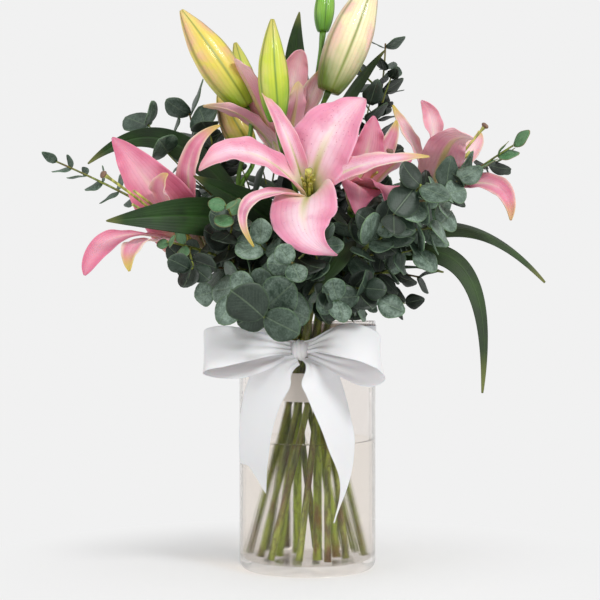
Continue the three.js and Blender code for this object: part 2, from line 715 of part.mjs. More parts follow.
// Every stem is in place before any leaf or tepal, so none of them cuts a stem.
const rods = new Map(); // owner -> { solid, guards }

function growStem(owner, makers) {
  const solid = makers.map((make) => make(0)).reduce((a, b) => a.add(b));
  const guards = makers.map((make) => make(GAP));
  for (const guard of guards) settle(null, guard);
  rods.set(owner, { solid, guards: new Set(guards) });
}

for (const stem of LILY_STEMS) {
  stem.free = above({ at: slot(...stem.slot), end: stem.end, pull: stem.pull });
  const main = (grow) => stemRod(slot(...stem.slot), stem.free, LILY_STEM, 6, grow);
  const feet = [
    ...stem.flowers.map((name) => ({ foot: point(LILIES[name].foot), into: flowerAxis(LILIES[name]) })),
    ...stem.buds.map((name) => {
      const bud = BUDS.find((b) => b.name === name);
      return { foot: point(bud.foot), into: point(bud.tip).sub(point(bud.foot)).normalize() };
    }),
  ];
  const pedicels = feet.map(({ foot, into }) => (grow) => {
    const path = branch(stem.free, 0.97, foot.clone().addScaledVector(into, -GAP), into);
    return rod({ path, radius: () => PEDICEL, long: BRANCH_STEPS, sides: 5, grow });
  });
  growStem(stem, [main, ...pedicels]);
}

const SIDE_LEAVES = { thick: SIDE_TWIG, steps: BRANCH_STEPS, pairs: 3, leaf: [29, 25] };

SPRIGS.forEach((sprig, i) => {
  sprig.seed = i + 1;
  sprig.thick = TWIG;
  sprig.steps = STEM_STEPS;
  sprig.free = above({ at: slot(...sprig.slot), end: sprig.end, pull: sprig.pull });
  const makers = [(grow) => stemRod(slot(...sprig.slot), sprig.free, TWIG, 5, grow)];
  sprig.sides = (sprig.sides ?? []).map(({ from, end }, k) => {
    const outward = point(end).sub(HEART).normalize();
    const free = branch(sprig.free, from, point(end), outward);
    const radius = (t) => mix(SIDE_TWIG.foot, SIDE_TWIG.tip, t);
    makers.push((grow) => rod({ path: free, radius, long: BRANCH_STEPS, sides: 5, grow }));
    return { ...SIDE_LEAVES, free, seed: 20 + 7 * i + k };
  });
  growStem(sprig, makers);
});

// Flowers: the three that show whole have a node for each tepal, the two behind them one corolla each.
for (const [name, lily] of Object.entries(LILIES)) {
  const flower = groupAt(point(lily.foot));
  addPiece(flower, `lily_${name}_pistil`, fitted((grow) => pistilSolid(lily, grow)), PALE_GREEN);
  const whole = ["front", "left", "right"].includes(name);
  if (whole) {
    for (const tepal of lily.tepals) {
      const solid = fitted((grow) => tepalSolid(lily, tepal, grow));
      addPiece(flower, `lily_${name}_tepal_${tepal.name}`, solid, PINK);
    }
  } else {
    const cut = lily.tepals.map((tepal) => {
      const solid = clearOfNeighbours(tepalSolid(lily, tepal, 0, 5, 1));
      return largest(solid);
    });
    const axis = flowerAxis(lily);
    const collar = (grow) => {
      const foot = point(lily.foot).addScaledVector(axis, 4);
      const path = new THREE.LineCurve3(foot, foot.clone().addScaledVector(axis, 9));
      return rod({ path, radius: () => 8, long: 1, sides: 8, grow });
    };
    const corolla = largest(clearOfNeighbours(cut.reduce((a, b) => a.add(b), collar(0))));
    const grown = (all, tepal) => all.add(tepalSolid(lily, tepal, GAP, 5, 1));
    settle(corolla, lily.tepals.reduce(grown, collar(GAP)));
    addPiece(flower, `lily_${name}_corolla`, corolla, PINK);
  }
}

for (const bud of BUDS) {
  const group = groupAt(point(bud.foot));
  addPiece(group, `bud_${bud.name}`, fitted((grow) => budSolid(bud, grow)), BUD_GREEN);
}

// A strap leaf is cut back from its neighbours and joined where it still meets its stem.
function withStrapLeaves(stem) {
  const { solid, guards: own } = rods.get(stem);
  let grown = solid;
  for (const leaf of stem.leaves) {
    const cleared = clearOfNeighbours(strapLeaf(stem, stem.free, leaf, 0), own);
    const rooted = cleared.decompose().filter((part) => part.intersect(solid).volume() > 0.5);
    if (!rooted.length) continue;
    grown = grown.add(rooted.reduce((a, b) => (a.volume() > b.volume() ? a : b)));
    settle(null, strapLeaf(stem, stem.free, leaf, GAP));
  }
  return grown;
}

// A round leaf is never cut: it is swung round its stem until it hangs clear, or left off.
const SWINGS = [0, 25, -25, 50, -50, 80, -80].flatMap((turn) => [[turn, 1], [turn, 0.75]]);

function withRoundLeaves(sprig) {
  const { solid, guards: own } = rods.get(sprig);
  let grown = solid;
  const places = [sprig, ...sprig.sides].flatMap(leafPlaces);
  for (const place of places) {
    for (const [turn, scale] of SWINGS) {
      const at = swung(place, turn, scale);
      const leaf = leafDisc(at);
      if (!isClear(leaf, own)) continue;
      grown = grown.add(leaf);
      settle(null, leafDisc({ ...at, grow: GAP }));
      break;
    }
  }
  return grown;
}

for (const stem of LILY_STEMS) {
  addPiece(groupAt(V(0, 0, 0)), `lily_stem_${stem.name}`, withStrapLeaves(stem), STEM_GREEN);
}

for (const sprig of SPRIGS) {
  addPiece(groupAt(V(0, 0, 0)), `eucalyptus_${sprig.name}`, withRoundLeaves(sprig), SILVER_LEAF);
}

// ---- water, round every stem --------------------------------------------------------------------
function waterSolid() {
  const reach = VASE.radius - VASE.wall - GAP;
  const corner = VASE.corner - VASE.wall;
  const floor = VASE.floor + GAP;
  const profile = [
    new THREE.Vector2(0, floor),
    ...arc(reach - corner, floor + corner, corner, -90, 0, 2),
    new THREE.Vector2(reach, WATER_LEVEL),
    new THREE.Vector2(0, WATER_LEVEL),
  ];
  let water = toSolid(turned(profile, VASE.sides));
  for (const { guards } of rods.values()) {
    for (const guard of guards) water = water.subtract(guard);
  }
  return largest(water);
}

addPiece(origin, "water", waterSolid(), WATER);

export default bouquet;
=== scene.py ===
"""Pink lilies and silver-leaved eucalyptus, hand-tied and stood in a glass cylinder of water.

The vase has a white satin bow. Tables of sizes and places are in millimetres, meshes in metres.
Up is +Z, the front with the bow is towards -Y and the origin is the middle of the vase's foot.
"""

import math

import bmesh
import bpy
from mathutils import Matrix, Quaternion, Vector
from mathutils.bvhtree import BVHTree


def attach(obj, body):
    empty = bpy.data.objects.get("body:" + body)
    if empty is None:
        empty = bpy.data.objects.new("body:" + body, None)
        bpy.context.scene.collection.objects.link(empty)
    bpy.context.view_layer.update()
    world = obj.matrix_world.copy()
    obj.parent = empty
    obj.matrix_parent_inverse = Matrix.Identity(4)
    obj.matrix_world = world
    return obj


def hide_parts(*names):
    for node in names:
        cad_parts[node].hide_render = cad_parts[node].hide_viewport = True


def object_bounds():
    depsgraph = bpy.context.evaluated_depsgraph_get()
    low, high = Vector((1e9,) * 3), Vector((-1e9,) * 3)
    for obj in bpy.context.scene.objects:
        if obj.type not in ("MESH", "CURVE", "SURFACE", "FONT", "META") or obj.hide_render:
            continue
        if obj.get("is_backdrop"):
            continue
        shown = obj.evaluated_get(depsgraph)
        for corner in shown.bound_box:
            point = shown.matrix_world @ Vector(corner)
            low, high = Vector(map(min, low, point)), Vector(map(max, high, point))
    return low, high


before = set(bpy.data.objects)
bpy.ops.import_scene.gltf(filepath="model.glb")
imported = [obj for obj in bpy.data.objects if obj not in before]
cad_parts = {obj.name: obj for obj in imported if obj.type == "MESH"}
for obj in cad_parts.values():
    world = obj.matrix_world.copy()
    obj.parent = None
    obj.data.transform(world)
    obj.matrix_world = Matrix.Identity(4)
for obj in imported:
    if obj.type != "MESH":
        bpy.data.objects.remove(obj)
CAD_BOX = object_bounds()

MM = 0.001

# ---- sizes, in millimetres -----------------------------------------------------------------------
VASE = {"radius": 60, "height": 218, "wall": 3, "floor": 9, "corner": 8}
WATER_LEVEL = 114
WAIST = {"height": 178, "pitch": 8.4, "lean": 0.0165}
STEM_FOOT = 10.5
RISE_FROM = 202
SLEEVE = {"low": 147, "high": 172, "thick": 0.35}
RIBBON = {"width": 40, "thick": 0.4}
BAND = {"low": 176, "high": 214}
KNOT = Vector((-7, -68.5, 194))
LILY_STEM = (3.9, 2.7)
TWIG = (3.0, 0.9)
SIDE_TWIG = (1.3, 0.6)
PEDICEL = 2.1
HEART = Vector((0, 20, 230))
GAP = 0.3
RING_SLACK = 0.05


# ---- small maths ---------------------------------------------------------------------------------
def mix(a, b, share):
    return a + (b - a) * share


def smoothstep(x, low, high):
    share = min(max((x - low) / (high - low), 0), 1)
    return share * share * (3 - 2 * share)


def wobble(seed, n):
    """A repeatable number between -1 and 1."""
    return math.sin(12.9898 * n + 78.233 * seed)


def turned(vector, axis, degrees):
    return Quaternion(axis, math.radians(degrees)) @ vector


def square_to(vector, axis):
    """The unit vector nearest to vector that is square to axis."""
    return (vector - axis * vector.dot(axis)).normalized()


# ---- curves --------------------------------------------------------------------------------------
class Curve:
    """A path from t = 0 to t = 1; along(t) is its direction."""

    def along(self, t):
        low, high = max(0, t - 0.002), min(1, t + 0.002)
        return (self.at(high) - self.at(low)).normalized()


class Bezier(Curve):
    def __init__(self, *points):
        self.points = [Vector(p) for p in points]

    def at(self, t):
        points = self.points
        while len(points) > 1:
            points = [a.lerp(b, t) for a, b in zip(points, points[1:])]
        return points[0]


class Spline(Curve):
    """A centripetal Catmull-Rom curve through its points."""

    def __init__(self, points):
        inner = [Vector(p) for p in points]
        self.points = [2 * inner[0] - inner[1], *inner, 2 * inner[-1] - inner[-2]]
        self.spans = len(inner) - 1

    def at(self, t):
        span = min(int(t * self.spans), self.spans - 1)
        share = t * self.spans - span
        p0, p1, p2, p3 = self.points[span : span + 4]
        d0, d1, d2 = (math.sqrt((b - a).length) for a, b in ((p0, p1), (p1, p2), (p2, p3)))
        start = ((p1 - p0) / d0 - (p2 - p0) / (d0 + d1) + (p2 - p1) / d1) * d1
        end = ((p2 - p1) / d1 - (p3 - p1) / (d1 + d2) + (p3 - p2) / d2) * d1
        square, cube = share**2, share**3
        return (
            p1 * (2 * cube - 3 * square + 1)
            + start * (cube - 2 * square + share)
            + p2 * (3 * square - 2 * cube)
            + end * (cube - square)
        )


class StemLine(Curve):
    """A stem: straight from its cut end through the waist, then along its free curve."""

    def __init__(self, foot, free, straight):
        self.foot, self.free, self.straight = foot, free, straight

    def at(self, t):
        if t > self.straight:
            return self.free.at((t - self.straight) / (1 - self.straight))
        return self.foot.lerp(self.free.at(0), t / self.straight)


def frames_along(path, steps):
    """Origin, direction and two square directions at each step, carried along without a twist."""
    tangent = path.along(0)
    normal = square_to(Vector((0.31, 0.95, 0.02)), tangent)
    frames = []
    for k in range(steps + 1):
        t = k / steps
        ahead = path.along(t)
        normal = square_to(tangent.rotation_difference(ahead) @ normal, ahead)
        tangent = ahead
        frames.append((path.at(t), tangent, normal, tangent.cross(normal)))
    return frames


# ---- modelling helpers ---------------------------------------------------------------------------
def deselect():
    if bpy.context.object and bpy.context.object.mode != "OBJECT":
        bpy.ops.object.mode_set(mode="OBJECT")
    bpy.ops.object.select_all(action="DESELECT")


def only(piece):
    deselect()
    piece.select_set(True)
    bpy.context.view_layer.objects.active = piece


def pick(piece, kind, wanted):
    """In edit mode, selects the vertices, edges or faces that wanted() picks and no others."""
    bpy.ops.mesh.select_mode(type=kind)
    bpy.ops.mesh.select_all(action="DESELECT")
    mesh = bmesh.from_edit_mesh(piece.data)
    for part in {"VERT": mesh.verts, "EDGE": mesh.edges, "FACE": mesh.faces}[kind]:
        if wanted(part):
            part.select_set(True)
    mesh.select_flush_mode()
    bmesh.update_edit_mesh(piece.data)


def modify(piece, kind, **settings):
    only(piece)
    modifier = piece.modifiers.new(kind, kind)
    for key, value in settings.items():
        setattr(modifier, key, value)
    bpy.ops.object.modifier_apply(modifier=modifier.name)


def joined(pieces):
    deselect()
    for piece in pieces:
        piece.select_set(True)
    bpy.context.view_layer.objects.active = pieces[0]
    if len(pieces) > 1:
        bpy.ops.object.join()
    return pieces[0]


def finished(piece, name, slot, *nodes):
    """Names a piece, fixes it to the part and hides the nodes it stands for."""
    piece.name = name
    piece.data.name = name
    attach(piece, "root")
    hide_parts(*nodes)
    return piece


def sheet(spine, half, side, lift, long, wide, thick, finishes, slant=0, closed=False):
    """A grid laid along a spine: half(t) is its half-width, side(t) the direction across it and
    lift(t, w) how far it stands off at w, from -1 at one edge to 1 at the other. Slant shears its
    far end, and closed merges its two ends."""
    deselect()
    bpy.ops.mesh.primitive_grid_add(x_subdivisions=long, y_subdivisions=wide, size=1, calc_uvs=True)
    piece = bpy.context.object
    rows = {}
    for vertex in piece.data.vertices:
        t = min(max(vertex.co.x + 0.5, 0), 1)
        w = 2 * vertex.co.y
        key = round(t * long)
        if key not in rows:
            along = spine.along(t)
            across = square_to(side(t), along)
            rows[key] = (spine.at(t), along, across, along.cross(across), half(t))
        origin, along, across, face, reach = rows[key]
        shift = w * slant * smoothstep(t, 0.9, 1)
        vertex.co = (origin + along * shift + across * (w * reach) + face * lift(t, w)) * MM
    if closed:
        bpy.ops.object.mode_set(mode="EDIT")
        bpy.ops.mesh.select_all(action="SELECT")
        bpy.ops.mesh.remove_doubles(threshold=0.02 * MM)
        bpy.ops.object.mode_set(mode="OBJECT")
    for finish in finishes:
        piece.data.materials.append(finish)
    back = len(finishes) - 1
    modify(piece, "SOLIDIFY", thickness=thick * MM, offset=0, material_offset=back)
    modify(piece, "SUBSURF", levels=1, render_levels=1)
    bpy.ops.object.shade_smooth()
    return piece


def rod(path, radius, long, sides, finish):
    """A closed round rod along a path, with radius(t, angle)."""
    rings = long + 2
    deselect()
    bpy.ops.mesh.primitive_uv_sphere_add(segments=sides, ring_count=rings, radius=1, calc_uvs=True)
    piece = bpy.context.object
    frames = frames_along(path, long)
    for vertex in piece.data.vertices:
        ring = round(math.acos(min(max(vertex.co.z, -1), 1)) / math.pi * rings)
        step = min(max(long + 1 - ring, 0), long)
        angle = math.atan2(vertex.co.y, vertex.co.x)
        reach = 0 if ring in (0, rings) else radius(step / long, angle)
        origin, _, normal, binormal = frames[step]
        out = normal * math.cos(angle) + binormal * math.sin(angle)
        vertex.co = (origin + out * reach) * MM
    piece.data.materials.append(finish)
    bpy.ops.object.shade_smooth()
    return piece


# ---- materials -----------------------------------------------------------------------------------
def tint(red, green, blue):
    """A colour from its 0-255 screen values."""
    screen = (red, green, blue)
    linear = [c / 3294.6 if c <= 10 else ((c / 255 + 0.055) / 1.055) ** 2.4 for c in screen]
    return (*linear, 1)


class Wire:
    """One output of a node. Arithmetic on it adds Math nodes."""

    def __init__(self, finish, socket):
        self.finish, self.socket = finish, socket

    def math(self, operation, *values):
        return self.finish.node("Math", {"operation": operation}, dict(enumerate(values)))

    def __add__(self, other):
        return self.math("ADD", self, other)

    def __sub__(self, other):
        return self.math("SUBTRACT", self, other)

    def __rsub__(self, other):
        return self.math("SUBTRACT", other, self)

    def __mul__(self, other):
        return self.math("MULTIPLY", self, other)

    def __pow__(self, other):
        return self.math("POWER", self, other)

    def __abs__(self):
        return self.math("ABSOLUTE", self)

    __radd__ = __add__
    __rmul__ = __mul__

    def sine(self):
        return self.math("SINE", self)

    def step(self, low, high):
        """Rises smoothly from 0 at low to 1 at high, or falls where low is the greater."""
        ends = {"From Min": min(low, high), "From Max": max(low, high), "Value": self}
        rising = self.finish.node("MapRange", {"interpolation_type": "SMOOTHSTEP"}, ends)
        return rising if low < high else 1 - rising


class Finish:
    """A material and the method that adds any node to it."""

    def __init__(self, name, **constants):
        self.material = bpy.data.materials.new(name)
        self.material.use_nodes = True
        self.tree = self.material.node_tree
        self.surface = self.tree.nodes["Principled BSDF"]
        for key, value in constants.items():
            self.surface.inputs[key.replace("_", " ")].default_value = value

    def node(self, kind, settings, inputs, output=0):
        made = self.tree.nodes.new("ShaderNode" + kind)
        for key, value in settings.items():
            if key == "stops":
                while len(made.color_ramp.elements) < len(value):
                    made.color_ramp.elements.new(1)
                for element, (position, colour) in zip(made.color_ramp.elements, value):
                    element.position, element.color = position, colour
            else:
                setattr(made, key, value)
        for key, value in inputs.items():
            if isinstance(value, Wire):
                self.tree.links.new(value.socket, made.inputs[key])
            else:
                made.inputs[key].default_value = value
        return Wire(self, made.outputs[output])

    def uv(self):
        """u runs along a piece and v across it."""
        pair = self.node("SeparateXYZ", {}, {0: self.node("TexCoord", {}, {}, "UV")})
        return pair, Wire(self, pair.socket.node.outputs[1])

    def place(self, scale=(1, 1, 1)):
        here = self.node("TexCoord", {}, {}, "Object")
        return self.node("Mapping", {}, {"Vector": here, "Scale": scale})

    def noise(self, scale, detail=3, vector=None, rough=0.5):
        where = vector or self.place()
        inputs = {"Vector": where, "Scale": scale, "Detail": detail, "Roughness": rough}
        return self.node("TexNoise", {}, inputs)

    def ramp(self, value, *stops):
        return self.node("ValToRGB", {"stops": stops}, {0: value})

    def blend(self, share, a, b, how="MIX"):
        settings = {"data_type": "RGBA", "blend_type": how, "clamp_factor": True}
        return self.node("Mix", settings, {0: share, 6: a, 7: b}, 2)

    def pair(self, x, y):
        return self.node("CombineXYZ", {}, {0: x, 1: y})

    def bump(self, height, distance, strength=0.6):
        return self.node("Bump", {}, {"Height": height, "Distance": distance, "Strength": strength})

    def skin(self, colour=None, roughness=None, normal=None):
        for key, value in (("Base Color", colour), ("Roughness", roughness), ("Normal", normal)):
            if isinstance(value, Wire):
                self.tree.links.new(value.socket, self.surface.inputs[key])
            elif value is not None:
                self.surface.inputs[key].default_value = value
        return self.material


def petal_face(name, pale, rosy, deep, spotted=0.0):
    """The inside of a tepal: green at its foot, cream up its middle, pale, then rosy to its margins.
    The pale middle and the rosy margins are partly its own colour and partly painted light: a painted
    highlight over the middle, painted shade towards the margins.
    """
    skin = Finish(name, Subsurface_Weight=0.15, Subsurface_Scale=0.003, Sheen_Weight=0.1)
    u, v = skin.uv()
    gold = skin.node("Attribute", {"attribute_name": "gold"}, {}, "Fac")
    edge = abs(v * 2 - 1)
    cloud = skin.noise(34, 4)
    fine = skin.noise(240, 3)
    green, cream, amber = tint(176, 188, 84), tint(244, 232, 204), tint(214, 190, 84)
    body = skin.ramp(u + (cloud - 0.5) * 0.12, (0.0, green), (0.16, cream), (0.34, pale), (1.0, pale))
    # Rosy towards the margins: partly the tepal's own colour and partly painted shade at its edges,
    # against the pale middle as a painted highlight.
    rosy_margin_and_shade = (edge + (cloud - 0.5) * 0.8).step(0.05, 0.8) * u.step(0.1, 0.38)
    body = skin.blend(rosy_margin_and_shade * 0.95, body, rosy)
    body = skin.blend((u + (cloud - 0.5) * 0.5).step(0.5, 1.05) * 0.7, body, rosy)
    body = skin.blend(cloud.step(0.52, 0.7) * u.step(0.2, 0.5) * 0.4, body, deep)
    veins = ((v * 76 + cloud * 5).sine() * 0.5 + 0.5) ** 3 * u.step(0.08, 0.4)
    body = skin.blend(veins * fine * 0.22, body, deep)
    body = skin.blend(edge.step(0.9, 1.0) * 0.35, body, pale)
    rib = edge.step(0.2, 0.02) * u.step(0.85, 0.3)
    body = skin.blend(rib * 0.9, body, skin.ramp(u, (0.2, green), (0.55, cream), (0.9, pale)))
    body = skin.blend(edge.step(0.5, 1.0) * u.step(0.3, 0.8) * gold * 0.75, body, cream)
    body = skin.blend(u.step(0.8, 1.0) * gold, body, amber)
    if spotted:
        field = skin.pair(u * 38, v * 22)
        dots = skin.node("TexVoronoi", {}, {"Vector": field, "Scale": 1.0, "Randomness": 0.9})
        zone = u.step(0.25, 0.45) * u.step(0.95, 0.8) * edge.step(0.95, 0.6) * cloud.step(0.35, 0.55)
        body = skin.blend(dots.step(0.2, 0.12) * zone * spotted, body, tint(178, 70, 110))
    height = veins * -0.3 + rib * -1.0 + fine * 0.25 + cloud * 0.8
    return skin.skin(body, fine * 0.16 + 0.36, skin.bump(height, 0.0006, 0.6))


def petal_back(name, pale, rosy, rib_colour):
    """The outside of a tepal: paler, with a green rib along its middle."""
    skin = Finish(name, Subsurface_Weight=0.15, Subsurface_Scale=0.003, Sheen_Weight=0.1)
    u, v = skin.uv()
    gold = skin.node("Attribute", {"attribute_name": "gold"}, {}, "Fac")
    edge = abs(v * 2 - 1)
    cloud = skin.noise(42, 4)
    body = skin.ramp(u + (cloud - 0.5) * 0.2, (0.0, rib_colour), (0.22, pale), (0.6, rosy), (1.0, pale))
    veins = ((v * 70 + cloud * 4).sine() * 0.5 + 0.5) ** 3
    body = skin.blend(veins * 0.12, body, rosy)
    body = skin.blend(edge.step(0.22, 0.06) * u.step(1.0, 0.5) * 0.7, body, rib_colour)
    body = skin.blend(u.step(0.75, 1.0) * gold, body, tint(216, 194, 96))
    height = veins * 0.5 + edge.step(0.2, 0.05) * 1.4
    return skin.skin(body, cloud * 0.15 + 0.4, skin.bump(height, 0.0006, 0.6))


def bud_finish(name, foot, body, blush, rib, tip):
    """A closed bud: three tepals, each with a dark rib, run from a green foot to a pale tip."""
    skin = Finish(name, Subsurface_Weight=0.1, Subsurface_Scale=0.003, Coat_Weight=0.15)
    around, up = skin.uv()
    cloud = skin.noise(60, 4)
    ridge = (around * (6 * math.pi)).sine() * 0.5 + 0.5
    lean = up + (cloud - 0.5) * 0.12 + ridge * 0.12
    colour = skin.ramp(lean, (0.12, foot), (0.5, body), (0.8, body), (1.0, tip))
    zone = up.step(0.1, 0.45) * up.step(1.05, 0.8)
    colour = skin.blend(cloud.step(0.38, 0.6) * zone * (1 - ridge) * 0.85, colour, blush)
    strings = ((around * 170 + cloud * 2).sine() * 0.5 + 0.5) ** 2
    colour = skin.blend(strings * 0.12 * (1.2 - up), colour, foot)
    colour = skin.blend(ridge ** 60 * 0.85, colour, rib)
    seam = (1 - ridge) ** 40
    colour = skin.blend(seam * 0.6, colour, rib)
    height = strings * 0.3 + ridge ** 12 * 1.2 - seam * 2.0 + cloud
    return skin.skin(colour, cloud * 0.2 + 0.3, skin.bump(height, 0.0006, 0.8))


def strap_finish(name, dark, light, rough):
    """A lily leaf: veins run along it and its middle is a groove."""
    skin = Finish(name)
    u, v = skin.uv()
    edge = abs(v * 2 - 1)
    cloud = skin.noise(45, 4)
    veins = ((v * 66 + cloud * 1.2).sine() * 0.5 + 0.5) ** 2
    colour = skin.blend(cloud.step(0.3, 0.75) * (1 - edge * 0.6), dark, light)
    colour = skin.blend(veins * 0.15, colour, light)
    colour = skin.blend(edge.step(0.09, 0.02) * 0.6, colour, light)
    colour = skin.blend(u.step(0.9, 1.0) * 0.5, colour, tint(150, 150, 80))
    height = veins * 0.4 - edge.step(0.12, 0.02) * 1.6 + cloud * 0.4
    return skin.skin(colour, cloud * 0.18 + rough, skin.bump(height, 0.0005, 0.45))


def silver_leaf(name, bloom_share, tones, rim):
    """A round eucalyptus leaf: dull green under a patchy pale bloom, with a thin coloured rim. Its
    tone, partly painted light, moves it from the deep to the middle colour and thickens its bloom.
    """
    skin = Finish(name)
    u, v = skin.uv()
    across = abs(v * 2 - 1)
    edge = skin.node("Math", {"operation": "MAXIMUM"}, {0: across, 1: abs(u * 2 - 1)})
    tone = skin.node("Attribute", {"attribute_name": "tone"}, {}, "Fac")
    cloud = skin.noise(120, 6, rough=0.7)
    specks = skin.noise(620, 4, rough=0.7)
    deep, mid, bloom = tones
    colour = skin.blend(tone.step(0.0, 0.75), deep, mid)
    colour = skin.blend(tone.step(0.6, 1.1) * 0.3, colour, bloom)
    patches = (cloud * 0.6 + specks * 0.4).step(0.4, 0.62) * (tone.step(0.25, 1.0) * bloom_share + 0.06)
    colour = skin.blend(patches, colour, bloom)
    slanted = skin.pair(u - across * 0.55, 0)
    nerves = skin.node("TexWave", {"wave_type": "BANDS"}, {"Vector": slanted, "Scale": 2.6})
    nerves = nerves.step(0.92, 1.0) * edge.step(0.95, 0.6)
    colour = skin.blend(nerves * 0.06, colour, bloom)
    colour = skin.blend(across.step(0.06, 0.015) * 0.3, colour, tint(128, 150, 116))
    colour = skin.blend(edge.step(0.9, 0.99) * tone * 0.6, colour, rim)
    height = cloud * 0.6 - across.step(0.12, 0.02) + nerves * 0.1 + specks * 0.25
    return skin.skin(colour, cloud * 0.25 + 0.4, skin.bump(height, 0.0005, 0.6))


def stem_finish(name, green, brown, share, rough=0.28):
    """A stem: long green and dark streaks, with brown patches and flecks over a share of it. The dark
    streaks are partly its grain and partly painted shade.
    """
    skin = Finish(name, Coat_Weight=0.12)
    long_grain = skin.noise(260, 4, skin.place((1, 1, 0.08)))
    patches = skin.noise(55, 5, skin.place((1, 1, 0.35)), 0.65)
    # The near-black streak colour is partly the stem's own grain and partly painted shade, for the dark
    # gaps between the stems.
    shade = tuple(c * 0.3 for c in green[:3]) + (1,)
    colour = skin.ramp(long_grain, (0.38, green), (0.64, shade))
    colour = skin.blend(patches.step(0.66 - share * 0.3, 0.8 - share * 0.2), colour, brown)
    flecks = skin.noise(300, 3).step(0.56, 0.7)
    colour = skin.blend(flecks * share, colour, tuple(c * 0.5 for c in brown[:3]) + (1,))
    return skin.skin(colour, patches * 0.25 + rough, skin.bump(long_grain + patches, 0.0005, 0.7))


def satin_finish():
    skin = Finish("white_satin", Sheen_Weight=0.25, Subsurface_Weight=0.1, Subsurface_Scale=0.004)
    u, v = skin.uv()
    warp = (v * 1500).sine() * 0.5 + 0.5
    weft = (u * 3200).sine() * 0.5 + 0.5
    edge = abs(v * 2 - 1)
    crease = skin.noise(30, 3)
    colour = skin.blend(warp * weft * 0.35, tint(244, 242, 243), tint(228, 226, 230))
    colour = skin.blend(edge.step(0.93, 0.96) * 0.5, colour, tint(226, 228, 233))
    height = warp * 0.3 + weft * 0.3 + crease * 1.5 + edge.step(0.93, 0.96)
    return skin.skin(colour, warp * 0.1 + 0.36, skin.bump(height, 0.0003, 0.4))


def paper_finish():
    skin = Finish("white_paper")
    fibre = skin.noise(420, 5)
    colour = skin.blend(fibre * 0.4, tint(244, 243, 240), tint(226, 224, 219))
    return skin.skin(colour, fibre * 0.2 + 0.65, skin.bump(fibre, 0.0002, 0.5))


def clear_finish(name, colour, ior, solid):
    """Clear glass or water. Light from the lamps passes straight through it."""
    skin = Finish(
        name, Base_Color=colour, IOR=ior, Transmission_Weight=1.0, Coat_Weight=0.4, Alpha=solid
    )
    ripple = skin.noise(14, 2)
    skin.skin(roughness=0.0, normal=skin.bump(ripple, 0.0004, 0.25))
    lamp_ray = skin.node("LightPath", {}, {}, "Is Shadow Ray")
    passed = skin.node("BsdfTransparent", {}, {"Color": colour})
    seen = Wire(skin, skin.surface.outputs[0])
    either = skin.node("MixShader", {}, {0: lamp_ray, 1: seen, 2: passed})
    skin.tree.links.new(either.socket, skin.tree.nodes["Material Output"].inputs["Surface"])
    return skin.material


# Deep, middle and bloom tones of the grown and the young leaves. The grown leaves' deep tone is near
# black, painted shade for the leaves deep inside the foliage.
SILVER = (tint(16, 27, 17), tint(44, 68, 51), tint(148, 170, 154))
SPRING = (tint(30, 62, 32), tint(52, 104, 58), tint(142, 182, 138))
FRONT_FACE = petal_face(
    "rose_petal", tint(254, 220, 230), tint(230, 142, 172), tint(206, 102, 142), spotted=0.8
)
DEEP_FACE = petal_face("deep_rose_petal", tint(240, 176, 192), tint(218, 118, 148), tint(196, 86, 122))
PALE_FACE = petal_face("pale_rose_petal", tint(250, 216, 220), tint(230, 156, 172), tint(206, 112, 138))
PETAL_BACK = petal_back("petal_outside", tint(248, 210, 208), tint(228, 150, 170), tint(206, 204, 112))
STYLE = stem_finish("style_green", tint(214, 216, 104), tint(226, 206, 120), 0.3)
STIGMA = stem_finish("stigma_mauve", tint(150, 116, 92), tint(128, 84, 84), 0.6, 0.5)
LILY_GREEN = stem_finish("lily_stem_green", tint(170, 194, 60), tint(128, 98, 38), 0.5)
PEDICEL_GREEN = stem_finish("pedicel_green", tint(104, 156, 48), tint(140, 150, 84), 0.25)
TWIG_BROWN = stem_finish("twig_brown", tint(134, 148, 56), tint(98, 72, 36), 0.65, 0.32)
STRAP_TOP = strap_finish("strap_leaf", tint(17, 42, 8), tint(40, 78, 18), 0.52)
STRAP_BACK = strap_finish("strap_leaf_back", tint(22, 42, 12), tint(48, 76, 24), 0.54)
LEAF_TOP = silver_leaf("silver_leaf", 0.75, SILVER, tint(112, 148, 96))
LEAF_BACK = silver_leaf("silver_leaf_back", 0.95, SILVER, tint(112, 148, 96))
YOUNG_TOP = silver_leaf("young_leaf", 0.3, SPRING, tint(158, 112, 58))
YOUNG_BACK = silver_leaf("young_leaf_back", 0.5, SPRING, tint(158, 112, 58))
SATIN = satin_finish()
PAPER = paper_finish()
GLASS = clear_finish("clear_glass", (0.89, 0.84, 0.8, 1), 1.05, 0.55)
WATER = clear_finish("water", (0.975, 0.96, 0.93, 1), 1.05, 1.0)


# ---- what is already in place --------------------------------------------------------------------
class Neighbours:
    """Finished shapes that a leaf has to stay clear of."""

    def __init__(self):
        self.shapes = []

    def add(self, data, owner):
        tree = BVHTree.FromPolygons([v.co for v in data.vertices], [p.vertices for p in data.polygons])
        self.shapes.append((tree, *corners(data), owner))

    def clear(self, data, owner):
        low, high = corners(data)
        tree = BVHTree.FromPolygons([v.co for v in data.vertices], [p.vertices for p in data.polygons])
        for other, other_low, other_high, whose in self.shapes:
            if whose == owner:
                continue
            near = all(low[k] < other_high[k] and other_low[k] < high[k] for k in range(3))
            if near and len(tree.overlap(other)) > (TOUCH if whose == "leaf" else 0):
                return False
        return True


def corners(data):
    places = [v.co for v in data.vertices]
    return [min(p[k] for p in places) for k in range(3)], [max(p[k] for p in places) for k in range(3)]


NEIGHBOURS = Neighbours()


